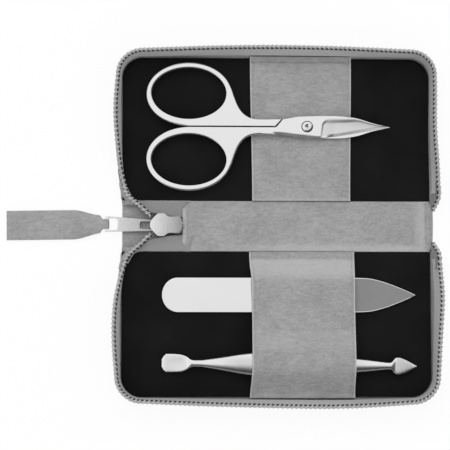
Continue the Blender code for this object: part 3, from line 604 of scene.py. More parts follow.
def loft(name, rings):
    """A closed skin through rings of equally many points, capped at both ends. It starts as
    a grid primitive, whose last column closes on the first."""
    rings = np.asarray(rings, float)
    count, around = rings.shape[:2]
    piece = new_piece(name, bpy.ops.mesh.primitive_grid_add, x_subdivisions=around,
                      y_subdivisions=count - 1, size=1)
    spots = np.concatenate([rings, rings[:, :1]], axis=1)
    piece.data.vertices.foreach_set("co", spots.reshape(-1))
    piece.data.update()
    bpy.ops.object.mode_set(mode="EDIT")
    bpy.ops.mesh.select_all(action="SELECT")
    bpy.ops.mesh.remove_doubles(threshold=1e-7)
    bpy.ops.mesh.select_all(action="DESELECT")
    bpy.ops.mesh.select_mode(type="EDGE")
    bpy.ops.mesh.select_non_manifold()
    bpy.ops.mesh.fill_holes(sides=0)
    bpy.ops.mesh.select_all(action="SELECT")
    bpy.ops.mesh.normals_make_consistent(inside=False)
    bpy.ops.object.mode_set(mode="OBJECT")
    return piece


def tube(name, path, outward, radii, sides):
    """A round tube along a path. outward is a direction at each point, roughly square to it."""
    path, outward = np.asarray(path, float), np.asarray(outward, float)
    along = np.gradient(path, axis=0)
    along /= np.linalg.norm(along, axis=1, keepdims=True)
    first = outward - along * np.sum(outward * along, axis=1, keepdims=True)
    first /= np.linalg.norm(first, axis=1, keepdims=True)
    second = np.cross(along, first)
    turns = np.linspace(0, 2 * math.pi, sides, endpoint=False)
    round_off = np.outer(np.cos(turns), [1, 1, 1])[None] * first[:, None]
    round_off = round_off + np.outer(np.sin(turns), [1, 1, 1])[None] * second[:, None]
    return loft(name, path[:, None] + round_off * np.asarray(radii, float)[:, None, None])


def squared(value):
    return math.copysign(abs(value) ** COIL_SQUARENESS, value)


def wind_coil(name, frame_at, turns):
    """A coil of so many turns. frame_at gives its middle, its heads' direction and its up
    direction at a share of the way."""
    path, radial, radii = [], [], []
    for step in range(turns * POINTS_PER_TURN + 1):
        middle, heads, up = frame_at(step / (turns * POINTS_PER_TURN))
        angle = 2 * math.pi * step / POINTS_PER_TURN
        across = squared(math.cos(angle)) * (COIL_WIDTH / 2 - WIRE_RADIUS)
        rise = squared(math.sin(angle)) * (COIL_HEIGHT / 2 - WIRE_RADIUS)
        offset = heads * across + up * rise
        path.append(middle + offset)
        radial.append(offset)
        at_head = max(0.0, math.cos(angle))
        radii.append(WIRE_RADIUS + (WIRE_HEAD_RADIUS - WIRE_RADIUS) * at_head)
    return tube(name, path, radial, radii, WIRE_SIDES)


for half, side in HALVES:
    def rim_frame(share):
        station = rim_station(share * RIM_RUN)
        middle = rim_point(side, station, station[4] - COIL_WIDTH / 2, station[5] - COIL_HEIGHT / 2)
        return Vector(middle), Vector((station[2], side * station[3], 0)), Vector((0, 0, 1))

    coil = wind_coil(half + "_coil", rim_frame, COIL_TURNS)
    dress(coil, silver_nylon, COIL_SHADE_ANGLE)
    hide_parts(half + "_zip_teeth")
    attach(coil, half + "_half")

    for name, inset, radius, finish in COIL_CORDS:
        path, outward = [], []
        for step in range(COIL_TURNS * 2 + 1):
            station = rim_station(RIM_RUN * step / (COIL_TURNS * 2))
            path.append(rim_point(side, station, station[4] - inset, station[5] - COIL_HEIGHT / 2))
            outward.append((station[2], side * station[3], 0))
        cord = tube(half + name, path, outward, [radius] * len(path), CORD_SIDES)
        dress(cord, finish, COIL_SHADE_ANGLE)
        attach(cord, half + "_half")


# Linings: black brushed microfibre over a board, glued down and tucked in at the walls.
# The nap drinks the light, with a faint bloom where it was stroked another way.
LINING_THICK = 0.0005
LINING_TUCK = 0.00025
LINING_TUCK_RUN = 0.0011
LINING_SWELL = 0.00008
LINING_COLUMNS = 140
FOLD_GAP = 0.0003

brushed_microfibre, tree, output = new_material("brushed_black_microfibre")
# Dense short nap: almost no gloss, a soft sheen at a slant and a fine fibre speckle
spot = add_node(tree, "ShaderNodeTexCoord").outputs["Object"]
nap = add_node(tree, "ShaderNodeTexNoise", {
    "Vector": spot, "Scale": 1 / 0.00035, "Detail": 4.0, "Roughness": 0.7}).outputs["Fac"]
strokes = add_node(tree, "ShaderNodeTexNoise", {"Vector": spot, "Scale": 1 / 0.016, "Detail": 2.0})
tone = add_node(tree, "ShaderNodeMath", {0: nap, 1: 0.5, 2: strokes.outputs["Fac"]},
                operation="MULTIPLY_ADD")
spread = add_node(tree, "ShaderNodeMapRange", {0: tone.outputs[0], 1: 0.4, 2: 1.1})
shade = add_node(tree, "ShaderNodeMix", {
    0: spread.outputs[0], 6: linear("#0d0d0d"), 7: linear("#191919")}, data_type="RGBA")
bump = add_node(tree, "ShaderNodeBump", {"Strength": 0.5, "Distance": 0.00012, "Height": nap})
shader = add_node(tree, "ShaderNodeBsdfPrincipled", {
    "Base Color": shade.outputs[2], "Roughness": 0.95, "Specular IOR Level": 0.15,
    "Sheen Weight": 0.05, "Sheen Roughness": 0.5, "Normal": bump.outputs[0]})
tree.links.new(shader.outputs[0], output.inputs["Surface"])

for half, side in HALVES:
    rows = panel_rows(FOLD_GAP, 0)
    edges = [panel_half(v, 0) for v in rows]

    def lining_spot(across, along):
        v = float(np.interp(along, np.linspace(0, 1, len(rows)), rows))
        reach = float(np.interp(v, rows, edges))
        x = (across * 2 - 1) * reach
        to_edge = min(reach - abs(x), TRAY_DEPTH - v)
        tuck = LINING_TUCK * (1 - ease(to_edge / LINING_TUCK_RUN))
        drift = math.sin(x / 0.017 + side) * math.sin(v / 0.011 + 0.6) * LINING_SWELL
        return (x, side * (HALF_SPINE + v), FOLD_HEIGHT - tuck + min(0.0, drift))

    lining = grid_sheet(half + "_microfibre_lining", LINING_COLUMNS, len(rows) - 1, lining_spot)
    thicken(lining, LINING_THICK, -side)
    dress(lining, brushed_microfibre)
    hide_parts(half + "_lining")
    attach(lining, half + "_half")

# Pressed paper fibre, dull and speckled; only its edges are ever near the light
greyboard = clouded_finish("grey_fibre_board", 0.0008, "#6a665f", "#8b867c", {"Roughness": 0.92}, 4.0)
for node_name in ("lower_board", "upper_board", "spine_filler"):
    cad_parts[node_name].data.materials.clear()
    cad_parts[node_name].data.materials.append(greyboard)


# Spine leather inside: two strips that cover both folds' inner edges and lap a little over
# the linings. Right of the slider it is a padded patch with a folded left edge.
PATCH_START = -0.0350
PATCH_HALF = 0.0068
PATCH_CORNER_RUN = 0.0034
PATCH_RISE = 0.00012
PATCH_FOLD_RISE = 0.00060
PATCH_FOLD_RUN = 0.0013
PATCH_THICK = 0.0007
PATCH_FOLD_HIGHLIGHT = 0.55
PATCH_FOLD_HIGHLIGHT_RUN = 0.0016
MIDDLE_LAP = 0.0003
LAP_RISE_RUN = 0.0024
LOWER_EDGE_PALE = 0.38
RIGHT_END_PALE = 0.42
LAP_OVER = 0.0001
LAP_HEIGHT = 0.00302
PATCH_COLUMNS = 160
PATCH_ROWS = 26
PATCH_EDGE_ROUND = 0.0002
PATCH_WAVE = 0.00004
UNDER_LAP = 0.00002
CREASES = ((-0.0322, 0.0007, 0.00016), (-0.0302, 0.0010, 0.00010), (-0.0278, 0.0012, 0.00008),
           (-0.0245, 0.0016, 0.00007), (-0.0200, 0.0022, 0.00005))
LIP_COLUMNS = 60
LIP_ROWS = 14
LIP_THICK = 0.0006
LIP_TURN_SHARE = 0.6
LIP_OUTWARDS = 0.0013
LIP_RISE = 0.0018
SPINE_BEND = 0.0008


def mark(piece, name, amount_at):
    """Store an amount at each vertex, from its place, for the material to read."""
    marked = piece.data.attributes.new(name, "FLOAT", "POINT")
    for vertex in piece.data.vertices:
        marked.data[vertex.index].value = amount_at(*vertex.co)


def crease_height(x, y):
    """Soft wrinkles that fan out from the patch's folded edge."""
    height = 0.0
    for place, width, depth in CREASES:
        bent = place + 0.0012 * math.sin(y / 0.0031 + place * 900)
        height -= depth * math.exp(-((x - bent) / width) ** 2)
    return height


for half, side in HALVES:
    def patch_spot(along, across):
        # across: 0 at the middle of the spine, 1 over the lining's edge
        x = PATCH_START + (HALF_LENGTH - PATCH_START) * along
        into = min(1.0, (x - PATCH_START) / PATCH_CORNER_RUN)
        reach = PATCH_HALF + (HALF_SPINE + LAP_OVER - PATCH_HALF) * ease(into)
        # The edge runs in a soft corner to the fold, never in a cut one
        y = reach * across - MIDDLE_LAP * (1 - across)
        height = FOLD_HEIGHT + PATCH_RISE * math.cos(math.pi / 2 * min(1.0, y / HALF_SPINE))
        # It rises softly to lap over the lining
        height += (LAP_HEIGHT - height) * ease((y - HALF_SPINE + LAP_RISE_RUN) / LAP_RISE_RUN)
        fold_run = (x - PATCH_START) / PATCH_FOLD_RUN
        if fold_run < 2:
            height += PATCH_FOLD_RISE * math.sin(math.pi * min(1.0, 0.25 + fold_run * 0.375))
        height += crease_height(x, side * y)
        height += PATCH_WAVE * math.sin(x / 0.0063 + 2 * math.sin(side * y / 0.0042 + 1)) * ease(into)
        # Both halves of the patch lap in the middle, this one below
        if side > 0:
            height -= UNDER_LAP * ease((0.0012 - y) / 0.0010)
        return (x, side * y, height)

    def patch_pale_and_highlight(x, y, z):
        """The folded edge's ridge is painted paler as a highlight; the lower edge and the right end are
        paler too.
        """
        from_edge = x - PATCH_START
        at_fold = ease((PATCH_FOLD_HIGHLIGHT_RUN - from_edge) / 0.0006) * ease((PATCH_HALF - abs(y)) / 0.0010)
        at_edge = ease((abs(y) - 0.0056) / 0.0026) * (side < 0) * ease((from_edge - 0.008) / 0.030)
        at_end = ease((x - 0.0500) / 0.0055)
        return max(PATCH_FOLD_HIGHLIGHT * at_fold, LOWER_EDGE_PALE * at_edge, RIGHT_END_PALE * at_end)

    patch = grid_sheet(half + "_spine_patch", PATCH_COLUMNS, PATCH_ROWS, patch_spot)
    thicken(patch, PATCH_THICK, -side, PATCH_EDGE_ROUND, 2)
    # The fold's ridge is painted paler, a painted highlight
    mark(patch, "pale_edge_and_painted_highlight", patch_pale_and_highlight)
    dress(patch, grey_cowhide)

    def lip_spot(along, across):
        # A turned-up edge: from the cover's inner face up and over the lining's edge
        x = -HALF_LENGTH + 0.0002 + (PATCH_START + 0.0030 + HALF_LENGTH) * along
        turn = math.pi / 2 * min(1.0, across / LIP_TURN_SHARE)
        y = HALF_SPINE - 0.0016 + LIP_OUTWARDS * math.sin(turn)
        height = COVER_THICK + 0.0002 + LIP_RISE * (1 - math.cos(turn))
        if across > LIP_TURN_SHARE:
            over = (across - LIP_TURN_SHARE) / (1 - LIP_TURN_SHARE)
            y += (LAP_OVER + 0.0003) * over
            height += 0.00005 * math.sin(math.pi * over)
        return (x, side * y, height)

    lip = grid_sheet(half + "_spine_edge_binding", LIP_COLUMNS, LIP_ROWS, lip_spot)
    thicken(lip, LIP_THICK, -side)
    dress(lip, grey_cowhide)
    for piece in (patch, lip):
        blend_over_fold(piece, side, HALF_SPINE - SPINE_BEND, HALF_SPINE + SPINE_BEND)
    if side > 0:
        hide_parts("spine_lining")


# Spine's right end: the outer hide is turned in over the patch as a soft rolled edge. It is
# the same hide, skived thin, and glued down under the patch.
ROLL_HALF = 0.0086
ROLL_PATH = ((0.0558, 0.00296), (0.0564, 0.00318), (0.0572, 0.00322), (0.0579, 0.00285),
             (0.0583, 0.00205), (0.0582, 0.00115), (0.0577, 0.00045), (0.0568, 0.00018))
ROLL_THICK = 0.0006
ROLL_COLUMNS = 70
ROLL_ROWS = 26
ROLL_BULGE_START = 0.0572
ROLL_BULGE = 0.00035
ROLL_WAVE = 0.00008
CURVE_STEPS = 8


def smooth_curve(points, steps):
    """Points on a smooth curve through the given ones."""
    points = [np.array(point, float) for point in points]
    padded = [points[0]] + points + [points[-1]]
    curve = []
    for before, start, end, after in zip(padded, padded[1:], padded[2:], padded[3:]):
        for step in range(steps):
            t = step / steps
            curve.append(start + (end - before) * t / 2
                         + (before * 2 - start * 5 + end * 4 - after) * t * t / 2
                         + (start * 3 - before - end * 3 + after) * t ** 3 / 2)
    curve.append(points[-1])
    return np.array(curve)


def line_point(at, places, line):
    """The point of a line at a place on it, between the places of its given points."""
    return [float(np.interp(at, places, line[:, axis])) for axis in range(line.shape[1])]


roll_line = smooth_curve(ROLL_PATH, CURVE_STEPS)
roll_shares = np.linspace(0, 1, len(roll_line))


def roll_spot(along, over):
    y = ROLL_HALF * (along * 2 - 1)
    x, z = line_point(over, roll_shares, roll_line)
    bulge = max(0.0, x - ROLL_BULGE_START) / 0.0011
    x += ROLL_BULGE * bulge * (math.cos(y / ROLL_HALF * 1.4 - 0.3) - 0.6)
    z += ROLL_WAVE * math.sin(y / 0.0011 + 2 * math.sin(y / 0.0034)) * math.sin(math.pi * over)
    return (x, y, z)


roll = grid_sheet("spine_end_roll", ROLL_COLUMNS, ROLL_ROWS, roll_spot)
thicken(roll, ROLL_THICK, 0)
dress(roll, grey_cowhide)
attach(roll, "spine")


# Straps: a band of the same hide on each half, folded double, edge-stitched and sewn into
# the seams at both ends. The lower one is drawn tight over the file and the pusher.

# Width and middle of each strap. The lower one is stretched a little wider.
STRAP_SPANS = {"upper": (0.0380, 0.0092), "lower": (0.0391, 0.0094)}
STRAP_THICK = 0.0010
STRAP_START = 0.0002
HEM_RUN = 0.0020
HEM_THICK = 0.0006
HEM_STEP = 0.0002
STRAP_EDGE_ROUND = 0.00030
STRAP_GROOVE = 0.00105
STRAP_GROOVE_WIDTH = 0.00022
STRAP_GROOVE_DEPTH = 0.00014
STRAP_PULL_IN = 0.0010
STRAP_RIPPLE = 0.00005
STRAP_EDGE_PALE = 0.00022
# How far each edge is drawn in at the fold by the seam that gathers it
SEAM_PULL_LEFT = 0.0008
SEAM_PULL_RIGHT = 0.0006
# The underside of each strap from fold to outer edge: distance from the fold, height.
# The upper one runs up the wall a little, into the seam under the zip tape.
UPPER_UNDERSIDE = ((0.0002, 0.0030), (0.02705, 0.0030), (0.0505, 0.0030), (0.0526, 0.0031),
                   (0.0537, 0.0036), (0.0543, 0.0045))
LOWER_UNDERSIDE = (
    (0.0002, 0.0030), (0.0022, 0.0030), (0.0110, 0.0052), (0.0150, 0.0054), (0.0215, 0.0051),
    (0.02500, 0.0054), (0.03785, 0.0078), (0.0415, 0.0080), (0.0440, 0.0076), (0.0458, 0.0067),
    (0.0478, 0.0053), (0.0500, 0.0040), (0.0518, 0.0033), (0.0530, 0.0031), (0.0538, 0.0036),
    (0.0543, 0.0044),
)
# Paler bands along each strap: from, to, how much. On the lower one they are painted
# highlight where it rises towards the light; on the upper one a paler band by the fold
STRAP_PALE_BANDS = {"upper": ((-0.0010, 0.0024, 0.80),),
                "lower": ((0.0026, 0.0125, 0.46), (0.0290, 0.0390, 0.14))}
STRAP_SHADE_ANGLE = 50

STITCH_PITCH = 0.0023
STITCH_LENGTH = 0.0016
STITCH_RADIUS = 0.00016
STITCH_SIDES = 6
# A stitch from hole to hole: share of half its length, share of its radius
STITCH_RINGS = ((-1.0, 0.35), (-0.6, 1.0), (0.6, 1.0), (1.0, 0.35))
STITCH_DIP = 0.6
STITCH_SHADE_ANGLE = 60

strap_cowhide = leather_finish("stitched_band_grey_cowhide", "#898989", "#a2a2a2")
# Twisted polyester thread with a little wax: lighter than the hide, softly glossy
linen_thread = clouded_finish("waxed_grey_thread", 0.0004, "#8a8a8a", "#b4b4b4", {"Roughness": 0.6})


def stitch_rows(name, rows):
    """Thread stitches, each a small six-sided loft laid on its spot. A row is a list of
    (middle, direction, up)."""
    verts, faces = [], []
    for middle, along, up in rows:
        along, up = Vector(along).normalized(), Vector(up).normalized()
        across = along.cross(up)
        first = len(verts)
        for run, size in STITCH_RINGS:
            for corner in range(STITCH_SIDES):
                angle = 2 * math.pi / STITCH_SIDES * corner
                offset = across * math.cos(angle) + up * math.sin(angle)
                dip = up * (-STITCH_DIP * STITCH_RADIUS if abs(run) == 1.0 else 0.0)
                verts.append(Vector(middle) + along * run * STITCH_LENGTH / 2 + dip
                             + offset * STITCH_RADIUS * size)
        last = first + STITCH_SIDES * (len(STITCH_RINGS) - 1)
        for low in range(first, last, STITCH_SIDES):
            for corner in range(STITCH_SIDES):
                after = (corner + 1) % STITCH_SIDES
                faces.append((low + corner, low + after, low + after + STITCH_SIDES,
                              low + corner + STITCH_SIDES))
        faces.append([first + corner for corner in reversed(range(STITCH_SIDES))])
        faces.append([last + corner for corner in range(STITCH_SIDES)])
    mesh = bpy.data.meshes.new(name)
    mesh.from_pydata([tuple(v) for v in verts], [], faces)
    stitches = bpy.data.objects.new(name, mesh)
    bpy.context.collection.objects.link(stitches)
    mend_normals(stitches)
    dress(stitches, linen_thread, STITCH_SHADE_ANGLE)
    return stitches


for half, side in HALVES:
    strap_width, strap_centre = STRAP_SPANS[half]
    under = smooth_curve(UPPER_UNDERSIDE if side > 0 else LOWER_UNDERSIDE, CURVE_STEPS)
    strap_end = float(under[-1, 0])
    fine = np.linspace(STRAP_START, strap_end, 96)
    heights = np.interp(fine, under[:, 0], under[:, 1])

    def thickness(v):
        to_hem = strap_end - v if side > 0 else v - STRAP_START
        return HEM_THICK + (STRAP_THICK - HEM_THICK) * ease((to_hem - HEM_RUN) / HEM_STEP)

    def edge_shift(x, v):
        """How far a point of the strap is drawn in, most of all at its edges."""
        if side > 0:
            at_fold = ease(1 - v / strap_end)
            left, right = SEAM_PULL_LEFT * at_fold, SEAM_PULL_RIGHT * at_fold
        else:
            over_tools = ease((v - 0.002) / 0.012) * ease((strap_end + 0.004 - v) / 0.016)
            left, right = STRAP_PULL_IN * over_tools, 0.0
        return left * (0.5 - x / strap_width) ** 2 - right * (0.5 + x / strap_width) ** 2

    half_width = strap_width / 2
    insets = [0, 0.00008, 0.00018, STRAP_EDGE_ROUND, STRAP_EDGE_PALE, 0.0006,
              STRAP_GROOVE - STRAP_GROOVE_WIDTH, STRAP_GROOVE, STRAP_GROOVE + STRAP_GROOVE_WIDTH, 0.0018]
    middle_xs = list(np.linspace(-half_width + 0.003, half_width - 0.003, 40))
    xs = [-half_width + inset for inset in insets] + middle_xs
    xs += [half_width - inset for inset in reversed(insets)]
    rings = []
    for x in xs:
        inset = half_width - abs(x)
        lower = 0.0
        if inset < STRAP_EDGE_ROUND:
            lower = STRAP_EDGE_ROUND * (1 - math.sqrt(1 - (1 - inset / STRAP_EDGE_ROUND) ** 2))
        groove = STRAP_GROOVE_DEPTH * max(0.0, 1 - abs(inset - STRAP_GROOVE) / STRAP_GROOVE_WIDTH)
        top, bottom = [], []
        for v, z in zip(fine, heights):
            spot_x = strap_centre + x + edge_shift(x, v)
            sway = math.sin(x / 0.0023 + 3 * math.sin(v / 0.004))
            ripple = STRAP_RIPPLE * sway * math.sin(v / 0.0031)
            bottom.append((spot_x, side * (HALF_SPINE + v), z + lower * 0.6))
            top.append((spot_x, side * (HALF_SPINE + v), z + thickness(v) - lower - groove + ripple))
        rings.append(bottom + top[::-1])

    def strap_pale(x, y, z):
        """The raw edge is pale; the listed bands are paler too, on the lower strap as painted highlight.
        """
        v = side * y - HALF_SPINE
        inset = min(x - strap_centre + half_width - edge_shift(-half_width, v),
                    strap_centre + half_width + edge_shift(half_width, v) - x)
        pale = 1 - ease((inset - STRAP_EDGE_PALE) / 0.00012)
        for start, end, amount in STRAP_PALE_BANDS[half]:
            pale = max(pale, amount * ease((v - start) / 0.0010) * ease((end - v) / 0.0050))
        return pale

    strap = loft(half + "_leather_strap", rings)
    # Pale raw edges, and painted highlight on the lower strap's slopes
    mark(strap, "pale_edge_and_painted_highlight", strap_pale)
    dress(strap, strap_cowhide, STRAP_SHADE_ANGLE)
    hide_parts(half + "_strap")
    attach(strap, half + "_half")

    rows = []
    for edge in (-1, 1):
        x = edge * (half_width - STRAP_GROOVE)
        v = STRAP_START + (STITCH_PITCH if side > 0 else HEM_RUN + STITCH_PITCH / 2)
        last = strap_end - (STITCH_PITCH / 2 if side < 0 else HEM_RUN + STITCH_PITCH / 2)
        while v < last:
            z = float(np.interp(v, fine, heights))
            slope = (float(np.interp(v + 0.0004, fine, heights)) - z) / 0.0004
            middle = (strap_centre + x + edge_shift(x, v), side * (HALF_SPINE + v),
                      z + STRAP_THICK - STRAP_GROOVE_DEPTH * 0.7)
            rows.append((middle, (0, side, slope), (0, -side * slope, 1)))
            v += STITCH_PITCH
    threads = stitch_rows(half + "_strap_stitching", rows)
    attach(threads, half + "_half")


# Stitches outside, where wall and zip tape are sewn together below the wall's top edge, with
# the straps' waxed thread. One seam runs round each half.
WALL_STITCH_DROP = 0.0010
STITCH_PROUD_SHARE = 0.25
STITCH_LOOK_AHEAD = 0.0004

for half, side in HALVES:
    rows = []
    count = round(RIM_RUN / STITCH_PITCH)
    for index in range(count + 1):
        run = RIM_RUN * index / count
        station, after = rim_station(run), rim_station(run + STITCH_LOOK_AHEAD)
        height = wall_top(station) - WALL_STITCH_DROP
        offset = wall_lean(station, height) + WALL_THICK + STITCH_RADIUS * STITCH_PROUD_SHARE
        here = Vector(rim_point(side, station, offset, height))
        ahead = Vector(rim_point(side, after, offset, wall_top(after) - WALL_STITCH_DROP))
        if (ahead - here).length > 1e-6:
            rows.append((here, ahead - here, (station[2], side * station[3], 0.15)))
    threads = stitch_rows(half + "_wall_stitching", rows)
    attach(threads, half + "_half")


# Zip ends: past the walls the coils run free. At the left they cross the fold to the
# slider's mouth, at the right they curl down behind the spine's end.
# Name, route of the coil's middle (x, y, z), turns, side of its heads, what it crosses
FREE_END_COILS = (
    ("left_coil_run", (
        (-0.05610, 0.01430, 0.00575), (-0.05560, 0.01220, 0.00572), (-0.05410, 0.01030, 0.00570),
        (-0.05230, 0.00865, 0.00570), (-0.05060, 0.00725, 0.00560),
    ), 6, 1, "fold"),
    ("left_coil_mouth", (
        (-0.05060, 0.00725, 0.00560), (-0.04920, 0.00600, 0.00545), (-0.04785, 0.00465, 0.00518),
        (-0.04660, 0.00350, 0.00510),
    ), 3, 1, "slider"),
    ("right_coil_tail", (
        (0.06000, 0.01430, 0.00905), (0.06010, 0.01180, 0.00860), (0.05990, 0.00960, 0.00690),
        (0.05920, 0.00790, 0.00480), (0.05860, 0.00600, 0.00270),
    ), 5, -1, "fold"),
)
FREE_STEPS = 12
FREE_END_NODES = {"left_coil_run": "_chain_end", "right_coil_tail": "_zip_tail"}
SLIDER_Y = 0.0002
FOLD_ZONE = (0.0075, 0.0135)

for half, side in HALVES:
    for name, route, turns, heads_side, crosses in FREE_END_COILS:
        # The mouth lies evenly about the slider, which sits a little off the middle
        shift = [SLIDER_Y * ease((0.0105 - y) / 0.006) if x < 0 else 0.0 for x, y, z in route]
        line = smooth_curve([(x, side * y + off, z) for (x, y, z), off in zip(route, shift)], FREE_STEPS)
        gaps = np.linalg.norm(np.diff(line, axis=0), axis=1)
        length = np.concatenate([[0], np.cumsum(gaps)])
        direction = np.gradient(line, axis=0)

        def free_frame(share):
            at = share * length[-1]
            middle = Vector(line_point(at, length, line))
            along = Vector(line_point(at, length, direction))
            along.normalize()
            flat = Vector((along.y, -along.x, 0)).normalized() * (side * heads_side)
            return middle, flat, flat.cross(along) * (side * heads_side)

        coil = wind_coil(f"{half}_{name}", free_frame, turns)
        dress(coil, silver_nylon, COIL_SHADE_ANGLE)
        if name in FREE_END_NODES:
            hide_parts(half + FREE_END_NODES[name])

        steps = turns * 3
        frames = [free_frame(step / steps) for step in range(steps + 1)]
        cords = []
        for cord_name, inset, radius, finish in COIL_CORDS:
            cord = tube(f"{half}_{name}{cord_name}",
                        [middle - flat * (inset - COIL_WIDTH / 2) for middle, flat, up in frames],
                        [flat for middle, flat, up in frames], [radius] * len(frames), CORD_SIDES)
            dress(cord, finish, COIL_SHADE_ANGLE)
            cords.append(cord)
        for piece in [coil] + cords:
            if crosses == "slider":
                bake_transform(piece)
            else:
                blend_over_fold(piece, side, *FOLD_ZONE)


# Gussets: where a wall stops at the fold, its leather runs on as a soft corner, from the
# coil down to the outer hide. It buckles when the case is opened flat.
# Name, line at the coil (x, y, z), line at its foot on the outer hide (x, y, z)
GUSSETS = (
    ("left_gusset",
     ((-0.05770, 0.01600, 0.00560), (-0.05700, 0.01340, 0.00530), (-0.05550, 0.01130, 0.00520),
      (-0.05380, 0.00960, 0.00510), (-0.05220, 0.00810, 0.00500)),
     ((-0.05800, 0.01600, 0.00110), (-0.05770, 0.01340, 0.00110), (-0.05740, 0.01130, 0.00110),
      (-0.05725, 0.00940, 0.00125), (-0.05715, 0.00790, 0.00140))),
    ("right_gusset",
     ((0.05930, 0.01600, 0.00890), (0.05945, 0.01340, 0.00850), (0.05950, 0.01130, 0.00760),
      (0.05925, 0.00900, 0.00560), (0.05850, 0.00650, 0.00300)),
     ((0.05760, 0.01600, 0.00100), (0.05760, 0.01340, 0.00100), (0.05750, 0.01130, 0.00110),
      (0.05745, 0.00900, 0.00125), (0.05735, 0.00650, 0.00150))),
)
GUSSET_THICK = 0.0007
GUSSET_BUCKLE = 0.00035
GUSSET_BULGE = 0.0004
GUSSET_COLUMNS = 44
GUSSET_ROWS = 22

for half, side in HALVES:
    for name, coil_edge, foot in GUSSETS:
        coil_line, foot_line = smooth_curve(coil_edge, CURVE_STEPS), smooth_curve(foot, CURVE_STEPS)
        shares = np.linspace(0, 1, len(coil_line))
        outward = 1 if coil_edge[0][0] > 0 else -1

        def gusset_spot(along, down):
            high, low = line_point(along, shares, coil_line), line_point(along, shares, foot_line)
            x, y, z = [a + (b - a) * down for a, b in zip(high, low)]
            bulge = math.sin(math.pi * down)
            x += outward * GUSSET_BULGE * bulge * (1 - along)
            z -= GUSSET_BUCKLE * math.sin(along * 9 + down * 2.5) * bulge
            return (x, side * y, z)

        gusset = grid_sheet(f"{half}_{name}", GUSSET_COLUMNS, GUSSET_ROWS, gusset_spot)
        thicken(gusset, GUSSET_THICK, 0)
        dress(gusset, grey_cowhide)
        blend_over_fold(gusset, side, *FOLD_ZONE)


# Tape ends: each tape follows its coil to the slider and is tucked under the spine's patch,
# a soft woven triangle between coil, fold and slider.
TAPE_END_INNER = (
    (-0.05530, 0.01400, 0.00480), (-0.05360, 0.01100, 0.00500), (-0.05150, 0.00890, 0.00500),
    (-0.04960, 0.00720, 0.00490), (-0.04740, 0.00540, 0.00475), (-0.04450, 0.00470, 0.00455),
    (-0.04150, 0.00400, 0.00430), (-0.03750, 0.00350, 0.00385), (-0.03440, 0.00340, 0.00270),
    (-0.03080, 0.00340, 0.00235),
)
TAPE_END_OUTER = (
    (-0.05600, 0.01390, 0.00300), (-0.05500, 0.01220, 0.00300), (-0.05300, 0.01000, 0.00306),
    (-0.05050, 0.00945, 0.00304), (-0.04750, 0.00930, 0.00304), (-0.04400, 0.00930, 0.00304),
    (-0.04050, 0.00930, 0.00304), (-0.03700, 0.00930, 0.00302), (-0.03400, 0.00920, 0.00285),
    (-0.03080, 0.00890, 0.00235),
)
TAPE_END_SAG = 0.0005
TAPE_END_WAVE = 0.00012
TAPE_END_COLUMNS = 64
TAPE_END_ROWS = 14
TAPE_END_SIZE = (0.026, 0.005)
TAPE_END_ZONE = (0.0088, 0.0115)

for half, side in HALVES:
    inner_line = smooth_curve(TAPE_END_INNER, CURVE_STEPS)
    outer_line = smooth_curve(TAPE_END_OUTER, CURVE_STEPS)
    shares = np.linspace(0, 1, len(inner_line))

    def tape_end_spot(along, across):
        inner, outer = line_point(along, shares, inner_line), line_point(along, shares, outer_line)
        x, y, z = [a + (b - a) * across for a, b in zip(inner, outer)]
        z -= TAPE_END_SAG * math.sin(math.pi * across) * math.sin(math.pi * along)
        z += TAPE_END_WAVE * math.sin(along * 21 + across * 3) * math.sin(math.pi * across)
        return (x, side * y, z)

    tape_end = grid_sheet(half + "_tape_end_weave", TAPE_END_COLUMNS, TAPE_END_ROWS, tape_end_spot)
    measure_uv(tape_end, *TAPE_END_SIZE)
    thicken(tape_end, TAPE_THICK, -1)
    # The whole end is greyer
    mark(tape_end, "handled", lambda x, y, z: 1.0)
    dress(tape_end, woven_tape, TAPE_SHADE_ANGLE)
    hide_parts(half + "_tape_end")
    blend_over_fold(tape_end, side, *TAPE_END_ZONE)


# Slider: a die-cast zinc body in a satin nickel plate, turned with its plain back up. Two
# heart-shaped plates with turned-in flanges ride on the coils, and a wedge parts them.
SLIDER_START = -0.0469
SLIDER_LENGTH = 0.0117
SLIDER_HALF = 0.00415
SLIDER_LOW = 0.0037
SLIDER_HIGH = 0.0058
PLATE_THICK = 0.0007
PLATE_ROUND = 0.00028
FLANGE_THICK = 0.0006
FLANGE_HEIGHT = 0.00035
ARCH_FOOT = 0.0013
ARCH_THICK = 0.0005
ARCH_POST = 0.0005
ARCH_HALF = 0.0009
ARCH_OPENING = 0.0026
# Cross-section of the arch: share of half its width, share of half its thickness
ARCH_SECTION = ((-1, -0.55), (-0.82, -1), (0.82, -1), (1, -0.55),
                (1, 0.55), (0.82, 1), (-0.82, 1), (-1, 0.55))
# Half outline of the plates, nose first: share of length, share of half width
SLIDER_OUTLINE = ((0.00, 0.12), (0.04, 0.36), (0.13, 0.69), (0.22, 0.93), (0.28, 1.00), (0.44, 1.00),
                  (0.51, 0.86), (0.58, 0.745), (0.68, 0.72), (0.86, 0.735), (0.95, 0.69), (1.00, 0.44))
SLIDER_WEDGE = ((0.02, 0.06), (0.10, 0.26), (0.22, 0.34), (0.34, 0.26), (0.46, 0.10), (0.50, 0.03))
# The points of the plates' outline along which the flanges turn in
FLANGE_POINTS = slice(12, 50)
SLIDER_PAINTED_SHADE = 0.70

plated_zinc, tree, output = new_material("satin_nickel_plated_zinc")
# Satin nickel over die-cast zinc: a soft even mirror with fine tumbling marks
spot = add_node(tree, "ShaderNodeTexCoord").outputs["Object"]
tumbled = add_node(tree, "ShaderNodeTexNoise", {
    "Vector": spot, "Scale": 1 / 0.0009, "Detail": 5.0}).outputs["Fac"]
rough = add_node(tree, "ShaderNodeMapRange", {0: tumbled, 3: 0.20, 4: 0.34})
bump = add_node(tree, "ShaderNodeBump", {"Strength": 0.06, "Distance": 0.00005, "Height": tumbled})
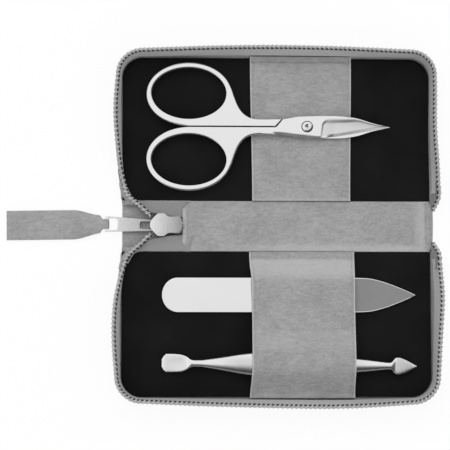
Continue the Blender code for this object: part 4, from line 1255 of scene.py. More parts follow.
# The plate is painted darker from the left end of the link and of the slider towards their
# right ends: painted shade
painted_shade = add_node(tree, "ShaderNodeAttribute", attribute_name="painted_shade").outputs["Fac"]
fine = add_node(tree, "ShaderNodeMath", {0: tumbled, 1: 0.10, 2: painted_shade}, operation="MULTIPLY_ADD")
tint = add_node(tree, "ShaderNodeMix", {0: fine.outputs[0], 6: linear("#ececec"), 7: linear("#6e6e6f")},
                data_type="RGBA")
shader = add_node(tree, "ShaderNodeBsdfPrincipled", {
    "Base Color": tint.outputs[2], "Metallic": 1.0, "Roughness": rough.outputs[0],
    "Normal": bump.outputs[0]})
tree.links.new(shader.outputs[0], output.inputs["Surface"])


def cut_plate(name, outlines, low, high, round_off, segments=3):
    """A plate between two heights with rounded edges. It starts as circle primitives pulled
    into the outlines. The outlines after the first are its holes."""
    rings = []
    for outline in outlines:
        ring = new_piece(name, bpy.ops.mesh.primitive_circle_add, vertices=len(outline))
        for vertex, (x, y) in zip(ring.data.vertices, outline):
            vertex.co = (x, y, low)
        rings.append(ring)
    plate = join_pieces(name, rings)
    bpy.ops.object.mode_set(mode="EDIT")
    bpy.ops.mesh.select_all(action="SELECT")
    bpy.ops.mesh.fill()
    bpy.ops.mesh.select_all(action="SELECT")
    bpy.ops.mesh.extrude_region_move(TRANSFORM_OT_translate={"value": (0, 0, high - low)})
    bpy.ops.mesh.select_all(action="SELECT")
    bpy.ops.mesh.normals_make_consistent(inside=False)
    bpy.ops.object.mode_set(mode="OBJECT")
    if round_off:
        round_edges(plate, round_off, segments)
    return plate


def paint_shade_along(piece, start, end, amount):
    """Paint shade on the plating along the piece: none at start, the amount at end."""
    mark(piece, "painted_shade", lambda x, y, z: amount * (x - start) / (end - start))


def keep_flats(piece):
    """Flat faces stay flat to the light, and only the rounded edges between them shade."""
    apply_modifier(piece, "WEIGHTED_NORMAL", weight=50, keep_sharp=True)


def join_pieces(name, pieces):
    bpy.ops.object.select_all(action="DESELECT")
    for piece in pieces:
        piece.select_set(True)
    bpy.context.view_layer.objects.active = pieces[0]
    if len(pieces) > 1:
        bpy.ops.object.join()
    joined = bpy.context.object
    joined.name = joined.data.name = name
    return joined


def mirrored(half_outline, length, half_width, steps, scale=1.0):
    """A closed outline symmetric about the slider's line, from its half outline."""
    line = smooth_curve(half_outline, steps)
    upper = [(SLIDER_START + length * (0.5 + (x - 0.5) * scale), SLIDER_Y + half_width * y * scale)
             for x, y in line]
    lower = [(x, 2 * SLIDER_Y - y) for x, y in reversed(upper)]
    return upper + lower


outline = mirrored(SLIDER_OUTLINE, SLIDER_LENGTH, SLIDER_HALF, 6)
inside = mirrored(SLIDER_OUTLINE, SLIDER_LENGTH, SLIDER_HALF, 6, 1 - FLANGE_THICK / SLIDER_HALF)
top_plate = cut_plate("slider_top", [outline], SLIDER_HIGH, SLIDER_HIGH + PLATE_THICK, PLATE_ROUND)
low_plate = cut_plate("slider_low", [outline], SLIDER_LOW, SLIDER_LOW + PLATE_THICK, PLATE_ROUND)
# The flanges turn in along both sides but leave the mouth and the tail open
side_outline = outline[FLANGE_POINTS]
flanges = []
for low, high in ((SLIDER_LOW + PLATE_THICK, SLIDER_LOW + PLATE_THICK + FLANGE_HEIGHT),
                  (SLIDER_HIGH - FLANGE_HEIGHT, SLIDER_HIGH)):
    for flip in (1, -1):
        outer = [(x, SLIDER_Y + (y - SLIDER_Y) * flip) for x, y in side_outline]
        inner = [(x, SLIDER_Y + (y - SLIDER_Y - FLANGE_THICK) * flip)
                 for x, y in reversed(side_outline)]
        flanges.append(cut_plate("slider_flange", [outer + inner], low, high, 0))
wedge = cut_plate("slider_wedge", [mirrored(SLIDER_WEDGE, SLIDER_LENGTH, SLIDER_HALF, 4)],
                  SLIDER_LOW + PLATE_THICK / 2, SLIDER_HIGH + PLATE_THICK / 2, 0)
span = ARCH_POST * 2 + ARCH_OPENING
post_top, post_foot, bar_middle = SLIDER_LOW + 0.0003, ARCH_FOOT + 0.0010, ARCH_FOOT + ARCH_THICK / 2
arch_line = smooth_curve([
    (ARCH_POST / 2, post_top), (ARCH_POST / 2, post_foot), (ARCH_POST * 1.1, bar_middle),
    (span / 2, bar_middle), (span - ARCH_POST * 1.1, bar_middle), (span - ARCH_POST / 2, post_foot),
    (span - ARCH_POST / 2, post_top)], 5)
arch_rings = []
for (x, z), (dx, dz) in zip(arch_line, np.gradient(arch_line, axis=0)):
    run = math.hypot(dx, dz)
    nx, nz = -dz / run * ARCH_THICK / 2, dx / run * ARCH_THICK / 2
    arch_rings.append([(SLIDER_START + x + nx * through, SLIDER_Y + across * ARCH_HALF, z + nz * through)
                       for across, through in ARCH_SECTION])
arch = loft("slider_arch", arch_rings)
slider = join_pieces("slider_body", [top_plate, low_plate, wedge, arch] + flanges)
# Painted shade: the plating darkens towards the slider's tail
paint_shade_along(slider, SLIDER_START, SLIDER_START + SLIDER_LENGTH, SLIDER_PAINTED_SHADE)
dress(slider, plated_zinc)
keep_flats(slider)
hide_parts("zip_slider")
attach(slider, "slider")


# Closed teeth: the few turns that already mesh behind the slider, hidden in its tail. They
# are of the same nylon coil, a little flatter where they lock.
MESHED_START = -0.0402
MESHED_END = -0.0350
MESHED_TURNS = 3
MESHED_OUT = 0.00062
MESHED_HEIGHT = 0.00510
MESHED_FLATNESS = 0.72

for half, side in HALVES:
    def meshed_frame(share):
        shift = 0.5 * (MESHED_END - MESHED_START) / MESHED_TURNS if side > 0 else 0.0
        middle = Vector((MESHED_START + (MESHED_END - MESHED_START) * share + shift * 0.5,
                         SLIDER_Y + side * MESHED_OUT, MESHED_HEIGHT))
        return middle, Vector((0, -side, 0)), Vector((0, 0, MESHED_FLATNESS))

    coil = wind_coil(half + "_meshed_coil", meshed_frame, MESHED_TURNS)
    dress(coil, silver_nylon, COIL_SHADE_ANGLE)
    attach(coil, "spine")


# Puller: a flat stamped link of zinc, plated as the slider is. Its eye hangs in the slider's
# arch and its slot holds the tab.
PULLER_AXIS = (-0.0457, 0.0002, 0.0025)
PULLER_TURN = -0.03
PULLER_THICK = 0.0008
PULLER_OUTER = -0.0182
PULLER_INNER = 0.0005
PULLER_ROUND = 0.00022
PULLER_OUTLINE_HALF = (0.0030, 0.0020)
PULLER_CORNER = 0.0011
PULLER_PAINTED_SHADE = 0.62
# Eye and slot: from x, to x, half width at both ends, radius of the corners
EYE_OUTLINE = (-0.0051, -0.0005, 0.0014, 0.0014, 0.00095)
SLOT_OUTLINE = (-0.0169, -0.0132, 0.00215, 0.00215, 0.0013)


def rounded_outline(low_x, high_x, half_low, half_high, radius, steps=7):
    """A four-sided outline about Y = 0 with round corners."""
    corners = [(low_x, -half_low), (high_x, -half_high), (high_x, half_high), (low_x, half_low)]
    outline = []
    for index, corner in enumerate(corners):
        here = Vector(corner)
        start = here + (Vector(corners[index - 1]) - here).normalized() * radius
        end = here + (Vector(corners[(index + 1) % 4]) - here).normalized() * radius
        for step in range(steps + 1):
            t = step / steps
            outline.append(tuple(start * (1 - t) ** 2 + here * 2 * t * (1 - t) + end * t * t))
    return outline


def place_piece(piece, spot, turn):
    """Set a finished mesh in its place, with the place in its vertices."""
    piece.data.transform(Matrix.Translation(Vector(spot)) @ Matrix.Rotation(turn, 4, "Z"))


puller = cut_plate("puller_link", [
    rounded_outline(PULLER_OUTER, PULLER_INNER, *PULLER_OUTLINE_HALF, PULLER_CORNER),
    rounded_outline(*EYE_OUTLINE), rounded_outline(*SLOT_OUTLINE),
], -PULLER_THICK / 2, PULLER_THICK / 2, PULLER_ROUND)
place_piece(puller, PULLER_AXIS, PULLER_TURN)
# Painted shade: the plating darkens towards the link's eye
paint_shade_along(puller, PULLER_AXIS[0] + PULLER_OUTER, PULLER_AXIS[0], PULLER_PAINTED_SHADE)
dress(puller, plated_zinc)
keep_flats(puller)
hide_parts("zip_puller")
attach(puller, "puller")


# Pull tab: one strip of the case's hide, folded through the puller's slot and glued to
# itself. It narrows at the slot and lies flat on the table beyond it.
TAB_AXIS = (-0.0632421, 0.0007264, 0.0025)
TAB_TURN = 0.015
TAB_END = 0.0369
TAB_HALF = 0.00545
TAB_NECK_HALF = 0.0034
TAB_LOOP_HALF = 0.0018
TAB_LEATHER = 0.00078
TAB_FOLD_LEATHER = 0.00050
TAB_LOOP_RUN = 0.00096
TAB_LOOP_RISE = 0.00072
TAB_REST = 0.00006
TAB_EDGE_ROUND = 0.00022
TAB_EDGE_RUN = 0.0004
TAB_LOOP_TURN = math.radians(140)
TAB_CUP = 0.00028
TAB_SIDE_STEPS = 7

bottom_z = TAB_REST + TAB_LEATHER / 2 - TAB_AXIS[2]
top_z = bottom_z + TAB_LEATHER
tab_path = [(-TAB_END, bottom_z), (-0.0300, bottom_z), (-0.0200, bottom_z),
            (-0.0120, bottom_z + 0.00004), (-0.0085, bottom_z + 0.0002), (-0.0052, bottom_z + 0.0006),
            (-0.0026, -0.00075)]
tab_path += [(TAB_LOOP_RUN * math.cos(a), TAB_LOOP_RISE * math.sin(a))
             for a in np.linspace(-TAB_LOOP_TURN, TAB_LOOP_TURN, 15)]
tab_path += [(-0.0026, 0.00020), (-0.0048, -0.00012), (-0.0085, top_z + 0.00050),
             (-0.0120, top_z + 0.00010), (-0.0200, top_z), (-0.0300, top_z), (-TAB_END, top_z)]
tab_line = smooth_curve(tab_path, 5)
tab_run = np.gradient(tab_line, axis=0)


def tab_half_width(run):
    """Half the strip's width at a distance behind the puller's bar."""
    if run < 0.0010:
        return TAB_LOOP_HALF
    if run < 0.0026:
        return TAB_LOOP_HALF + (TAB_NECK_HALF - TAB_LOOP_HALF) * ease((run - 0.0010) / 0.0016)
    return TAB_NECK_HALF + (TAB_HALF - TAB_NECK_HALF) * ease((run - 0.0026) / 0.0098) ** 0.85


rings = []
for (x, z), (dx, dz) in zip(tab_line, tab_run):
    run = math.hypot(dx, dz)
    nx, nz = -dz / run, dx / run
    # The hide is skived where it turns round the bar
    thick = TAB_FOLD_LEATHER + (TAB_LEATHER * 0.97 - TAB_FOLD_LEATHER) * ease((-x - 0.0012) / 0.0035)
    half_width = tab_half_width(-x)
    ring = []
    for face in (1, -1):
        for step in range(2 * TAB_SIDE_STEPS + 1):
            share = face * (step / TAB_SIDE_STEPS - 1)
            past_run = abs(share) * half_width - half_width + TAB_EDGE_RUN
            rounding = TAB_EDGE_ROUND * ease(past_run / TAB_EDGE_RUN)
            through = face * (thick / 2 - rounding)
            # The strip cups a little where it is drawn into the slot
            cup = -TAB_CUP * share ** 2 * math.exp(-((-x - 0.0042) / 0.0022) ** 2)
            ring.append((x + nx * through, half_width * share, z + nz * through + cup))
    rings.append(ring)
tab = loft("folded_pull_tab", rings)
mend_normals(tab)
place_piece(tab, TAB_AXIS, TAB_TURN)
dress(tab, grey_cowhide)
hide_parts("pull_tab")
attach(tab, "tab")


# Scissors: two drop-forged stainless members, ground and satin polished. Each one has a
# rounded finger loop and shank, and a flat pivot plate that runs into a hollow-ground
# blade. The back member is the front one turned over.
SCREW_PLACE = (0.01138, 0.0368994, 0.00565)
HANDLE_HALF_THICK = 0.0011
HANDLE_ROUND = 0.00062
HANDLE_STEPS = 6
STEEL_SHADE_ANGLE = 32
SLIT_EDGE_SHARE = 0.10
SHANK_END = 0.0119
SHANK_WIDTH = 0.0029
SHOULDER_RUN = 0.0023
SLIT_HALF = 0.00015
LOOP_CENTRE = (-0.0440, 0.0121)
LOOP_OUTER_HALF = (0.0159, 0.01195)
LOOP_HOLE_CENTRE = (-0.0440, 0.01245)
LOOP_HOLE_HALF = (0.0138, 0.0095)
LOOP_START = math.radians(-90)
LOOP_TURN = math.radians(-248)
LOOP_STEPS = 90
HOLE_STEPS = 96
# From the loop down to the shank, a sweep without a corner: x, y
WEB_LINE = ((-0.02926, 0.01658), (-0.02808, 0.01405), (-0.02690, 0.01060), (-0.02560, 0.00750),
            (-0.02390, 0.00515), (-0.02160, 0.00355), (-0.01900, 0.00298), (-0.01650, 0.00290))
BLADE_LENGTH = 0.0309
BLADE_LOW = 0.00015
BLADE_TOP = 0.00135
PLATE_START = -0.0134
SHOULDER_LOW_X = -0.0113
SHOULDER_TOP_X = -0.0090
# Blade's back and cutting edge from the shoulder to the tip: x, y
BACK_LINE = ((-0.0090, 0.00290), (-0.0060, 0.00345), (-0.0031, 0.00386), (0.0046, 0.00412),
             (0.0120, 0.00412), (0.0161, 0.00370), (0.0195, 0.00302), (0.0247, 0.00139),
             (0.0309, 0.00004))
EDGE_LINE = ((-0.0134, -0.00288), (-0.0090, -0.00308), (-0.0060, -0.00345), (-0.0031, -0.00380),
             (0.0010, -0.00408), (0.0046, -0.00412), (0.0070, -0.00395), (0.0090, -0.00360),
             (0.0120, -0.00318), (0.0161, -0.00250), (0.0200, -0.00180), (0.0235, -0.00118),
             (0.0270, -0.00058), (0.0309, -0.00004))
PLATE_CHAMFER = 0.00100
PLATE_CHAMFER_DROP = 0.00036
BACK_CHAMFER = 0.00022
GRIND_START = 0.0048
GRIND_LEAN = 0.0011
GRIND_CORNER = 0.0052
GRIND_DEPTH = 0.00012
GRIND_HOLLOW = 0.00010
GRIND_SLOPE_SHARE = 0.35
TIP_THINNED = 0.62
EDGE_BAND = 0.00085
BLADE_DULLED = 0.34
EDGE_HEIGHT = 0.00050
BLADE_STATIONS = 190
BLADE_ROWS = 34

satin_steel, tree, output = new_material("satin_polished_stainless_steel")
# Stainless steel, ground and then satin brushed lengthwise: a bright, slightly blurred
# mirror with hairlines, drawn 0.12 mm apart so that they show at all
spot = add_node(tree, "ShaderNodeTexCoord").outputs["Object"]
lengthwise = add_node(tree, "ShaderNodeMapping", {
    "Vector": spot, "Scale": (1 / 0.006, 1 / 0.00012, 1 / 0.00012)})
hairlines = add_node(tree, "ShaderNodeTexNoise", {
    "Vector": lengthwise.outputs[0], "Scale": 1.0, "Detail": 3.0}).outputs["Fac"]
handled = add_node(tree, "ShaderNodeTexNoise", {"Vector": spot, "Scale": 1 / 0.011, "Detail": 3.0})
wear = add_node(tree, "ShaderNodeMix", {0: 0.35, 2: hairlines, 3: handled.outputs["Fac"]})
rough = add_node(tree, "ShaderNodeMapRange", {0: wear.outputs[0], 1: 0.3, 2: 0.7, 3: 0.15, 4: 0.27})
tint = add_node(tree, "ShaderNodeMix", {0: hairlines, 6: linear("#e2e2e3"), 7: linear("#ededed")},
                data_type="RGBA")
# Hollow-ground and beaten faces are left duller than the polished ones; the pusher's body is
# painted darker towards its lower side, a painted shade
ground = add_node(tree, "ShaderNodeAttribute", attribute_name="dull_finish_and_painted_shade").outputs["Fac"]
surface = add_node(tree, "ShaderNodeMix", {0: ground, 6: tint.outputs[2], 7: linear("#bcbcbd")},
                   data_type="RGBA")
bump = add_node(tree, "ShaderNodeBump", {"Strength": 0.05, "Distance": 0.00004, "Height": hairlines})
shader = add_node(tree, "ShaderNodeBsdfPrincipled", {
    "Base Color": surface.outputs[2], "Metallic": 1.0, "Roughness": rough.outputs[0],
    "Normal": bump.outputs[0]})
tree.links.new(shader.outputs[0], output.inputs["Surface"])


def oval(centre, half_axes, angles):
    """Points of an oval at the given angles."""
    return [(centre[0] + half_axes[0] * math.cos(angle), centre[1] + half_axes[1] * math.sin(angle))
            for angle in angles]


def handle_outlines():
    """The handle on the front member's side, below the slit, and its finger hole."""
    outline = [(-SHANK_END, SLIT_HALF)]
    outline += oval(LOOP_CENTRE, LOOP_OUTER_HALF,
                    [LOOP_START + LOOP_TURN * step / LOOP_STEPS for step in range(LOOP_STEPS + 1)])
    web = [outline[-7], outline[-4]] + list(WEB_LINE)
    outline = outline[:-7] + [tuple(point) for point in smooth_curve(web, 6)]
    outline.append((SHOULDER_RUN - SHANK_END, SHANK_WIDTH))
    hole = oval(LOOP_HOLE_CENTRE, LOOP_HOLE_HALF,
                [2 * math.pi * step / HOLE_STEPS for step in range(HOLE_STEPS)])
    return [(x, -y) for x, y in outline], [(x, -y) for x, y in hole]


def drawn_in(outline, reach):
    """An outline moved towards the metal at each point, by that point's own distance."""
    spots = np.array(outline)
    along = np.roll(spots, -1, axis=0) - np.roll(spots, 1, axis=0)
    along /= np.linalg.norm(along, axis=1, keepdims=True)
    turned = np.stack([-along[:, 1], along[:, 0]], axis=1)
    x, y = spots[:, 0], spots[:, 1]
    area = np.sum(x * np.roll(y, -1) - y * np.roll(x, -1))
    return spots + turned * (reach * (1 if area > 0 else -1))[:, None]


def make_handle(name):
    """A handle whose edges are rounded by the polishing, all but the slit's."""
    sheets, caps = [], []
    for index, outline in enumerate(handle_outlines()):
        spots = np.array(outline)
        at_slit = np.array([y > -0.0009 and x > -0.045 or x > -SHANK_END - 0.0001 for x, y in outline])
        reach = np.where(at_slit, SLIT_EDGE_SHARE, 1.0) * HANDLE_ROUND * (1 if index == 0 else -1)
        if index == 0:
            # The rounding fades out towards the slit and the shoulder
            for _ in range(3):
                reach = (np.roll(reach, 1) + reach + np.roll(reach, -1)) / 3
        rows = []
        for step in range(2 * HANDLE_STEPS + 2):
            at_low = step <= HANDLE_STEPS
            angle = math.pi / 2 * (step if at_low else step - 1) / HANDLE_STEPS
            corner = (HANDLE_ROUND - HANDLE_HALF_THICK) * (1 if at_low else -1)
            up = -math.cos(angle) * HANDLE_ROUND + corner
            row = drawn_in(outline, reach * (1 - math.sin(angle)))
            rows.append(np.column_stack([row, np.full(len(row), up)]))
        caps.append((rows[0], rows[-1]))
        band = np.array([np.vstack([row, row[:1]]) for row in rows])
        sheet = new_piece(name + "_edge", bpy.ops.mesh.primitive_grid_add,
                          x_subdivisions=len(outline), y_subdivisions=len(rows) - 1, size=1)
        sheet.data.vertices.foreach_set("co", band.reshape(-1))
        sheets.append(sheet)
    for face in (0, 1):
        rings = []
        for cap in caps:
            ring = new_piece(name + "_ring", bpy.ops.mesh.primitive_circle_add, vertices=len(cap[face]))
            ring.data.vertices.foreach_set("co", cap[face].reshape(-1))
            rings.append(ring)
        sheets.append(join_pieces(name + "_cap", rings))
        bpy.ops.object.mode_set(mode="EDIT")
        bpy.ops.mesh.select_all(action="SELECT")
        bpy.ops.mesh.fill()
        bpy.ops.object.mode_set(mode="OBJECT")
    handle = join_pieces(name, sheets)
    bpy.ops.object.mode_set(mode="EDIT")
    bpy.ops.mesh.select_all(action="SELECT")
    bpy.ops.mesh.remove_doubles(threshold=2e-7)
    bpy.ops.mesh.normals_make_consistent(inside=False)
    bpy.ops.object.mode_set(mode="OBJECT")
    return handle


back_line = smooth_curve(BACK_LINE, 10)
edge_line = smooth_curve(EDGE_LINE, 10)


def blade_sides(x):
    """Where the cutting edge and the back are, at a distance along the blade."""
    edge = line_point(x, edge_line[:, 0], edge_line)[1]
    if x <= SHOULDER_LOW_X:
        return edge, SLIT_HALF * (2 * ease((x + SHANK_END) / 0.0006) - 1)
    if x <= SHOULDER_TOP_X:
        share = (x - SHOULDER_LOW_X) / (SHOULDER_TOP_X - SHOULDER_LOW_X)
        return edge, SLIT_HALF + (BACK_LINE[0][1] - SLIT_HALF) * share
    return edge, line_point(x, back_line[:, 0], back_line)[1]


def ground_share(x, y, edge, back):
    """How far a point lies inside the hollow grind, from 0 to 1."""
    across = (y - edge) / max(back - edge, 1e-6)
    line = GRIND_START + GRIND_LEAN * across + GRIND_CORNER * max(0.0, (across - 0.55) / 0.45) ** 2.2
    roof = ease((0.88 + 0.12 * ease((x - 0.013) / 0.008) - across) / 0.26)
    return ease((x - line) / 0.0007) * roof


def blade_height(x, y, edge, back):
    """Height of the member's outer face over a point of its plate or blade."""
    from_edge, from_back = y - edge, back - y
    across = (y - edge) / max(back - edge, 1e-6)
    # The plate: it rises a little from the shank, and has a chamfer along its lower side
    height = BLADE_TOP - 0.00022 * (1 - ease((x - PLATE_START) / 0.0012))
    taper = 1 - 0.55 * ease((x + 0.002) / 0.0095)
    chamfer = PLATE_CHAMFER * taper
    if from_edge < chamfer:
        height -= PLATE_CHAMFER_DROP * taper * (1 - from_edge / chamfer)
    # The hollow grind: it starts along a slanting arc and runs out below the back
    hollow = GRIND_DEPTH + GRIND_HOLLOW * math.sin(math.pi * min(1.0, max(0.0, across)))
    thin = ease((x - 0.012) / 0.018)
    slope = (BLADE_TOP - BLADE_LOW) * GRIND_SLOPE_SHARE * (1 - across)
    floor = BLADE_TOP - hollow - slope * ease((x - GRIND_START) / 0.006)
    height += (floor - height) * ground_share(x, y, edge, back)
    # The cutting edge: a narrow band of its own, down to a fine edge
    if x > GRIND_START and from_edge < EDGE_BAND:
        share = from_edge / EDGE_BAND
        low = BLADE_LOW + EDGE_HEIGHT
        down = low + (height - low) * share - height
        height = height + down * ease((x - GRIND_START - 0.002) / 0.003)
    if from_back < BACK_CHAMFER:
        height -= (BACK_CHAMFER - from_back) * 0.9
    # Towards the tip the whole blade gets thinner
    return BLADE_LOW + (height - BLADE_LOW) * (1 - TIP_THINNED * thin)


def make_blade(name):
    rings = []
    xs = list(np.linspace(PLATE_START, SHOULDER_LOW_X, 5))
    xs += list(np.linspace(SHOULDER_LOW_X, SHOULDER_TOP_X, 9)[1:])
    xs += list(np.linspace(SHOULDER_TOP_X, BLADE_LENGTH, BLADE_STATIONS)[1:])
    # Rows stand closer together near both sides, where the chamfers are
    shares = [0.5 - 0.5 * math.cos(math.pi * row / BLADE_ROWS) for row in range(BLADE_ROWS + 1)]
    for x in xs:
        edge, back = blade_sides(x)
        ring = [(x, edge, BLADE_LOW), (x, (edge + back) / 2, BLADE_LOW), (x, back, BLADE_LOW)]
        for share in shares:
            y = back + (edge - back) * share
            ring.append((x, y, blade_height(x, y, edge, back)))
        rings.append(ring)

    def ground(x, y, z):
        """The hollow is dull, on the outer face and behind the cutting edge's band."""
        edge, back = blade_sides(x)
        outside = z > BLADE_LOW + 0.00005 and y > edge + EDGE_BAND * 0.8
        return BLADE_DULLED * ground_share(x, y, edge, back) if outside else 0.0

    blade = loft(name, rings)
    mark(blade, "dull_finish_and_painted_shade", ground)
    return blade


for name, body, turn in (("scissor_front", "scissors_front", 0.0),
                         ("scissor_back", "scissors", math.pi)):
    member = join_pieces(name + "_member", [make_handle(name + "_handle"), make_blade(name + "_blade")])
    mend_normals(member)
    member.data.transform(Matrix.Translation(Vector(SCREW_PLACE)) @ Matrix.Rotation(turn, 4, "X"))
    dress(member, satin_steel, STEEL_SHADE_ANGLE)
    keep_flats(member)
    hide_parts(name)
    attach(member, body)


# Pivot screw: turned from stainless bar. A low domed head with a drilled dimple holds the
# members together, and the shank ends flush with the back one.
SCREW_PROFILE = (
    (0.0, -0.00137), (0.00070, -0.00137), (0.00108, -0.00135), (0.00120, -0.00126), (0.00120, 0.00138),
    (0.00184, 0.00138), (0.00190, 0.00143), (0.00190, 0.00158), (0.00185, 0.00172), (0.00172, 0.00186),
    (0.00152, 0.00195), (0.00128, 0.00200), (0.00100, 0.00202), (0.00086, 0.00199), (0.00076, 0.00190),
    (0.00068, 0.00177), (0.00058, 0.00168), (0.00044, 0.00163), (0.00026, 0.00161), (0.0, 0.00160),
)
SCREW_SIDES = 64
SCREW_SHADE_ANGLE = 35

screw = new_piece("pivot_screw_head", bpy.ops.mesh.primitive_circle_add, vertices=len(SCREW_PROFILE))
for vertex, (radius, height) in zip(screw.data.vertices, SCREW_PROFILE):
    vertex.co = (radius, 0, height)
bpy.ops.object.mode_set(mode="EDIT")
bpy.ops.mesh.select_all(action="SELECT")
bpy.ops.mesh.spin(steps=SCREW_SIDES, angle=2 * math.pi, center=(0, 0, 0), axis=(0, 0, 1),
                  use_auto_merge=True)
bpy.ops.mesh.select_all(action="SELECT")
bpy.ops.mesh.remove_doubles(threshold=1e-6)
bpy.ops.mesh.dissolve_degenerate(threshold=1e-7)
bpy.ops.mesh.select_all(action="SELECT")
bpy.ops.mesh.normals_make_consistent(inside=False)
bpy.ops.object.mode_set(mode="OBJECT")
place_piece(screw, SCREW_PLACE, 0)
dress(screw, satin_steel, SCREW_SHADE_ANGLE)
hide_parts("pivot_screw")
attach(screw, "scissors")


# Pivot shade: thin nearly black sheets round the screw's head, in its dimple and in the gap
# between the members at the shoulder. They are painted shade, for the dark groove and gap.
SHOULDER_SHADE_OUTLINE = ((-0.01215, 0.00005), (-0.01085, 0.00005), (-0.00855, 0.00300), (-0.00990, 0.00300))
HEAD_SHADE_RING = (0.00217, 0.00180)
DIMPLE_SHADE = 0.00036
PIVOT_SHADE_SIDES = 48
# Heights over the screw's place, from and to
SHOULDER_SHADE_HEIGHTS = (-0.00013, 0.00010)
HEAD_SHADE_RING_HEIGHTS = (0.00132, 0.00139)
DIMPLE_SHADE_HEIGHTS = (0.00158, 0.00163)

# Nearly black, glossy and clouded in places, as painted shade
pivot_shade_finish = clouded_finish("painted_pivot_shade", 0.0008, "#101010", "#2a2a2a",
                           {"Roughness": 0.5, "Specular IOR Level": 0.2})

full_turn = [2 * math.pi * step / PIVOT_SHADE_SIDES for step in range(PIVOT_SHADE_SIDES)]
pivot_shade_sheets = join_pieces("painted_shade_at_pivot", [
    cut_plate("shade_at_shoulder", [SHOULDER_SHADE_OUTLINE], *SHOULDER_SHADE_HEIGHTS, 0),
    cut_plate("shade_round_head", [oval((0, 0), (radius, radius), full_turn) for radius in HEAD_SHADE_RING],
              *HEAD_SHADE_RING_HEIGHTS, 0),
    cut_plate("shade_in_dimple", [oval((0, 0), (DIMPLE_SHADE, DIMPLE_SHADE), full_turn)],
              *DIMPLE_SHADE_HEIGHTS, 0),
])
place_piece(pivot_shade_sheets, SCREW_PLACE, 0)
pivot_shade_sheets.data.materials.append(pivot_shade_finish)
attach(pivot_shade_sheets, "scissors")


# Nail file: a blanked strip of spring steel with a round handle end and a pointed tip.
# Beyond the strap both faces are coated with fine grit, a little inside the edges.
FILE_START = -0.0424
FILE_LENGTH = 0.0940
FILE_Y = -0.0256014
FILE_HALF = 0.00635
FILE_LOW = 0.0031
FILE_THICK = 0.0010
FILE_ROUND_RUN = 0.0058
FILE_EDGE = 0.00022
FILE_POINT = ((0.70, 1.0), (0.76, 1.0), (0.80, 0.985), (0.835, 0.92), (0.888, 0.70), (0.941, 0.40),
              (0.98, 0.15), (1.0, 0.004))
GRIT_START_SHARE = 0.44
GRIT_MARGIN = 0.00024
GRIT_THICK = 0.00004
FILE_END_STEPS = 48

point_line = smooth_curve(FILE_POINT, 8)


def file_outline(margin, start_share):
    """The file's outline, or one drawn in by a margin that starts along its length."""
    half = FILE_HALF - margin
    lower = [(FILE_START + FILE_LENGTH * x - margin * max(0.0, (x - 0.8) / 0.2) * 1.6, half * y)
             for x, y in point_line]
    points = [(x, FILE_Y - y) for x, y in lower] + [(x, FILE_Y + y) for x, y in reversed(lower[:-1])]
    start = FILE_START + (FILE_LENGTH * start_share or FILE_ROUND_RUN)
    round_end = []
    if not start_share:
        angles = [math.pi / 2 + math.pi * step / FILE_END_STEPS for step in range(1, FILE_END_STEPS)]
        round_end = oval((start, FILE_Y), (FILE_ROUND_RUN, half), angles)
    return points + [(start, FILE_Y + half)] + round_end + [(start, FILE_Y - half)]


FILE_TOP = FILE_LOW + FILE_THICK
nail_file = cut_plate("nail_file_blank", [file_outline(0, 0)], FILE_LOW, FILE_TOP, FILE_EDGE, 2)
dress(nail_file, satin_steel)
keep_flats(nail_file)
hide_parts("nail_file")
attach(nail_file, "file")

grit_coat, tree, output = new_material("fine_corundum_grit")
# Corundum grit of about 0.1 mm bonded in nickel: even matt grey, rough to the touch
spot = add_node(tree, "ShaderNodeTexCoord").outputs["Object"]
grain = add_node(tree, "ShaderNodeTexVoronoi", {
    "Vector": spot, "Scale": 1 / 0.00014}).outputs["Distance"]
patches = add_node(tree, "ShaderNodeTexNoise", {"Vector": spot, "Scale": 1 / 0.004, "Detail": 4.0})
shade = add_node(tree, "ShaderNodeMix", {0: 0.6, 2: grain, 3: patches.outputs["Fac"]})
tint = add_node(tree, "ShaderNodeMix", {0: shade.outputs[0], 6: linear("#7e7e7f"), 7: linear("#919191")},
                data_type="RGBA")
bump = add_node(tree, "ShaderNodeBump", {"Strength": 0.35, "Distance": 0.00006, "Height": grain})
shader = add_node(tree, "ShaderNodeBsdfPrincipled", {
    "Base Color": tint.outputs[2], "Metallic": 0.15, "Roughness": 0.62, "Normal": bump.outputs[0]})
tree.links.new(shader.outputs[0], output.inputs["Surface"])

for name, low in (("nail_file_grit_top", FILE_TOP), ("nail_file_grit_back", FILE_LOW - GRIT_THICK)):
    grit = cut_plate(name, [file_outline(GRIT_MARGIN, GRIT_START_SHARE)], low, low + GRIT_THICK, 0)
    grit.data.materials.append(grit_coat)
    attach(grit, "file")


# Cuticle pusher: one forged stainless rod. Its body is oval, one end is beaten to a dished
# spatula and the other to a small flat spear.
PUSHER_PLACE = (0.0043, -0.0513017, 0.0054)
PUSHER_TURN = -0.0133
PUSHER_LENGTH = 0.0946
PUSHER_HALF_WIDTH = 0.00415
PUSHER_HALF_THICK = 0.0023
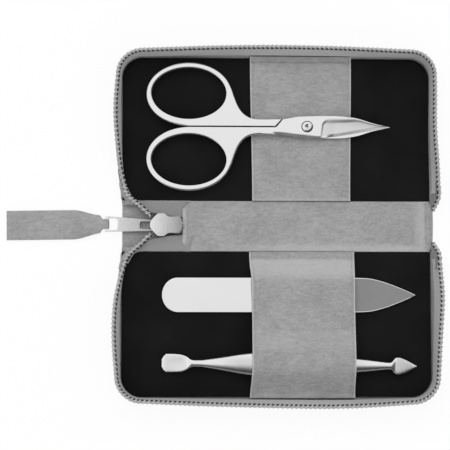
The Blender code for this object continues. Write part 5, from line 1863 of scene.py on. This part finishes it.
# Along the rod: share of length, of half width and of half thickness, depth of the dish, and
# how square the section is
PUSHER_SECTIONS = (
    (0.0063, 0.34, 0.05, 0.0, 0.6), (0.0129, 0.60, 0.09, 0.0, 0.6), (0.0227, 0.795, 0.13, 0.00004, 0.6),
    (0.0392, 0.80, 0.16, 0.00016, 0.5), (0.0611, 0.79, 0.20, 0.00032, 0.4),
    (0.0808, 0.755, 0.27, 0.00050, 0.3), (0.0939, 0.68, 0.34, 0.00058, 0.2),
    (0.1038, 0.58, 0.40, 0.00050, 0.1), (0.1114, 0.47, 0.45, 0.00020, 0.0),
    (0.118, 0.38, 0.48, 0.0, 0.0), (0.127, 0.33, 0.48, 0.0, 0.0), (0.142, 0.32, 0.50, 0.0, 0.0),
    (0.163, 0.34, 0.54, 0.0, 0.0), (0.200, 0.47, 0.66, 0.0, 0.0), (0.250, 0.66, 0.80, 0.0, 0.0),
    (0.305, 0.88, 0.92, 0.0, 0.0), (0.356, 1.03, 0.98, 0.0, 0.0), (0.405, 1.06, 1.0, 0.0, 0.0),
    (0.450, 1.05, 1.00, 0.0, 0.0), (0.500, 1.03, 1.00, 0.0, 0.0), (0.545, 0.99, 0.99, 0.0, 0.0),
    (0.600, 0.925, 0.96, 0.0, 0.0), (0.650, 0.85, 0.92, 0.0, 0.0), (0.705, 0.76, 0.86, 0.0, 0.0),
    (0.761, 0.65, 0.78, 0.0, 0.0), (0.810, 0.54, 0.68, 0.0, 0.0), (0.850, 0.43, 0.58, 0.0, 0.0),
    (0.880, 0.345, 0.50, 0.0, 0.0), (0.896, 0.33, 0.46, 0.0, 0.0), (0.903, 0.38, 0.42, 0.0, 0.1),
    (0.909, 0.52, 0.34, 0.00010, 0.3), (0.915, 0.68, 0.26, 0.00018, 0.4),
    (0.922, 0.745, 0.22, 0.00010, 0.5),
    (0.935, 0.74, 0.20, 0.00004, 0.6), (0.955, 0.58, 0.17, 0.0, 0.6), (0.975, 0.35, 0.13, 0.0, 0.6),
    (0.990, 0.15, 0.09, 0.0, 0.6), (1.000, 0.03, 0.05, 0.0, 0.6),
)
PUSHER_SIDES = 48
PUSHER_STATIONS = 150
# Both beaten ends are dull: from, to along the rod, how much
PUSHER_BEATEN = ((0.011, 0.104, 0.25), (0.918, 0.985, 0.6))
PUSHER_BEATEN_RIM = 0.74
PUSHER_BODY_PAINTED_SHADE = 0.55

sections = np.array(PUSHER_SECTIONS)
rings = []
for along in sorted({*np.linspace(sections[0, 0], 1, PUSHER_STATIONS), *sections[:, 0]}):
    half_width, half_thick, dish, square = line_point(along, sections[:, 0], sections[:, 1:])
    power = 1 - 0.55 * square
    ring = []
    for step in range(PUSHER_SIDES):
        angle = 2 * math.pi * step / PUSHER_SIDES
        y, z = [math.copysign(abs(part) ** power, part) for part in (math.cos(angle), math.sin(angle))]
        sink = dish * max(0.0, 1 - y * y) if math.sin(angle) > 0 else 0.0
        ring.append((PUSHER_LENGTH * (along - 0.5), PUSHER_HALF_WIDTH * half_width * y,
                     PUSHER_HALF_THICK * half_thick * z - sink))
    rings.append(ring)


def pusher_dull_and_shade(x, y, z):
    """The beaten ends are dull on top. The body is painted darker but for its upper edge: painted shade.
    """
    along = x / PUSHER_LENGTH + 0.5
    body = PUSHER_BODY_PAINTED_SHADE * ease((along - 0.20) / 0.12) * ease((0.84 - along) / 0.12)
    if z <= 0 or body != 0:
        return body * ease((0.0034 - y) / 0.0026)
    inside = ease((PUSHER_BEATEN_RIM - abs(y / PUSHER_HALF_WIDTH)) / 0.08)
    return inside * max(amount * ease((along - start) / 0.006) * ease((end - along) / 0.006)
                        for start, end, amount in PUSHER_BEATEN)


pusher = loft("cuticle_pusher_rod", rings)
mend_normals(pusher)
# Dull beaten ends, and painted shade along the body's lower side
mark(pusher, "dull_finish_and_painted_shade", pusher_dull_and_shade)
place_piece(pusher, PUSHER_PLACE, PUSHER_TURN)
dress(pusher, satin_steel, STEEL_SHADE_ANGLE)
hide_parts("cuticle_pusher")
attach(pusher, "pusher")
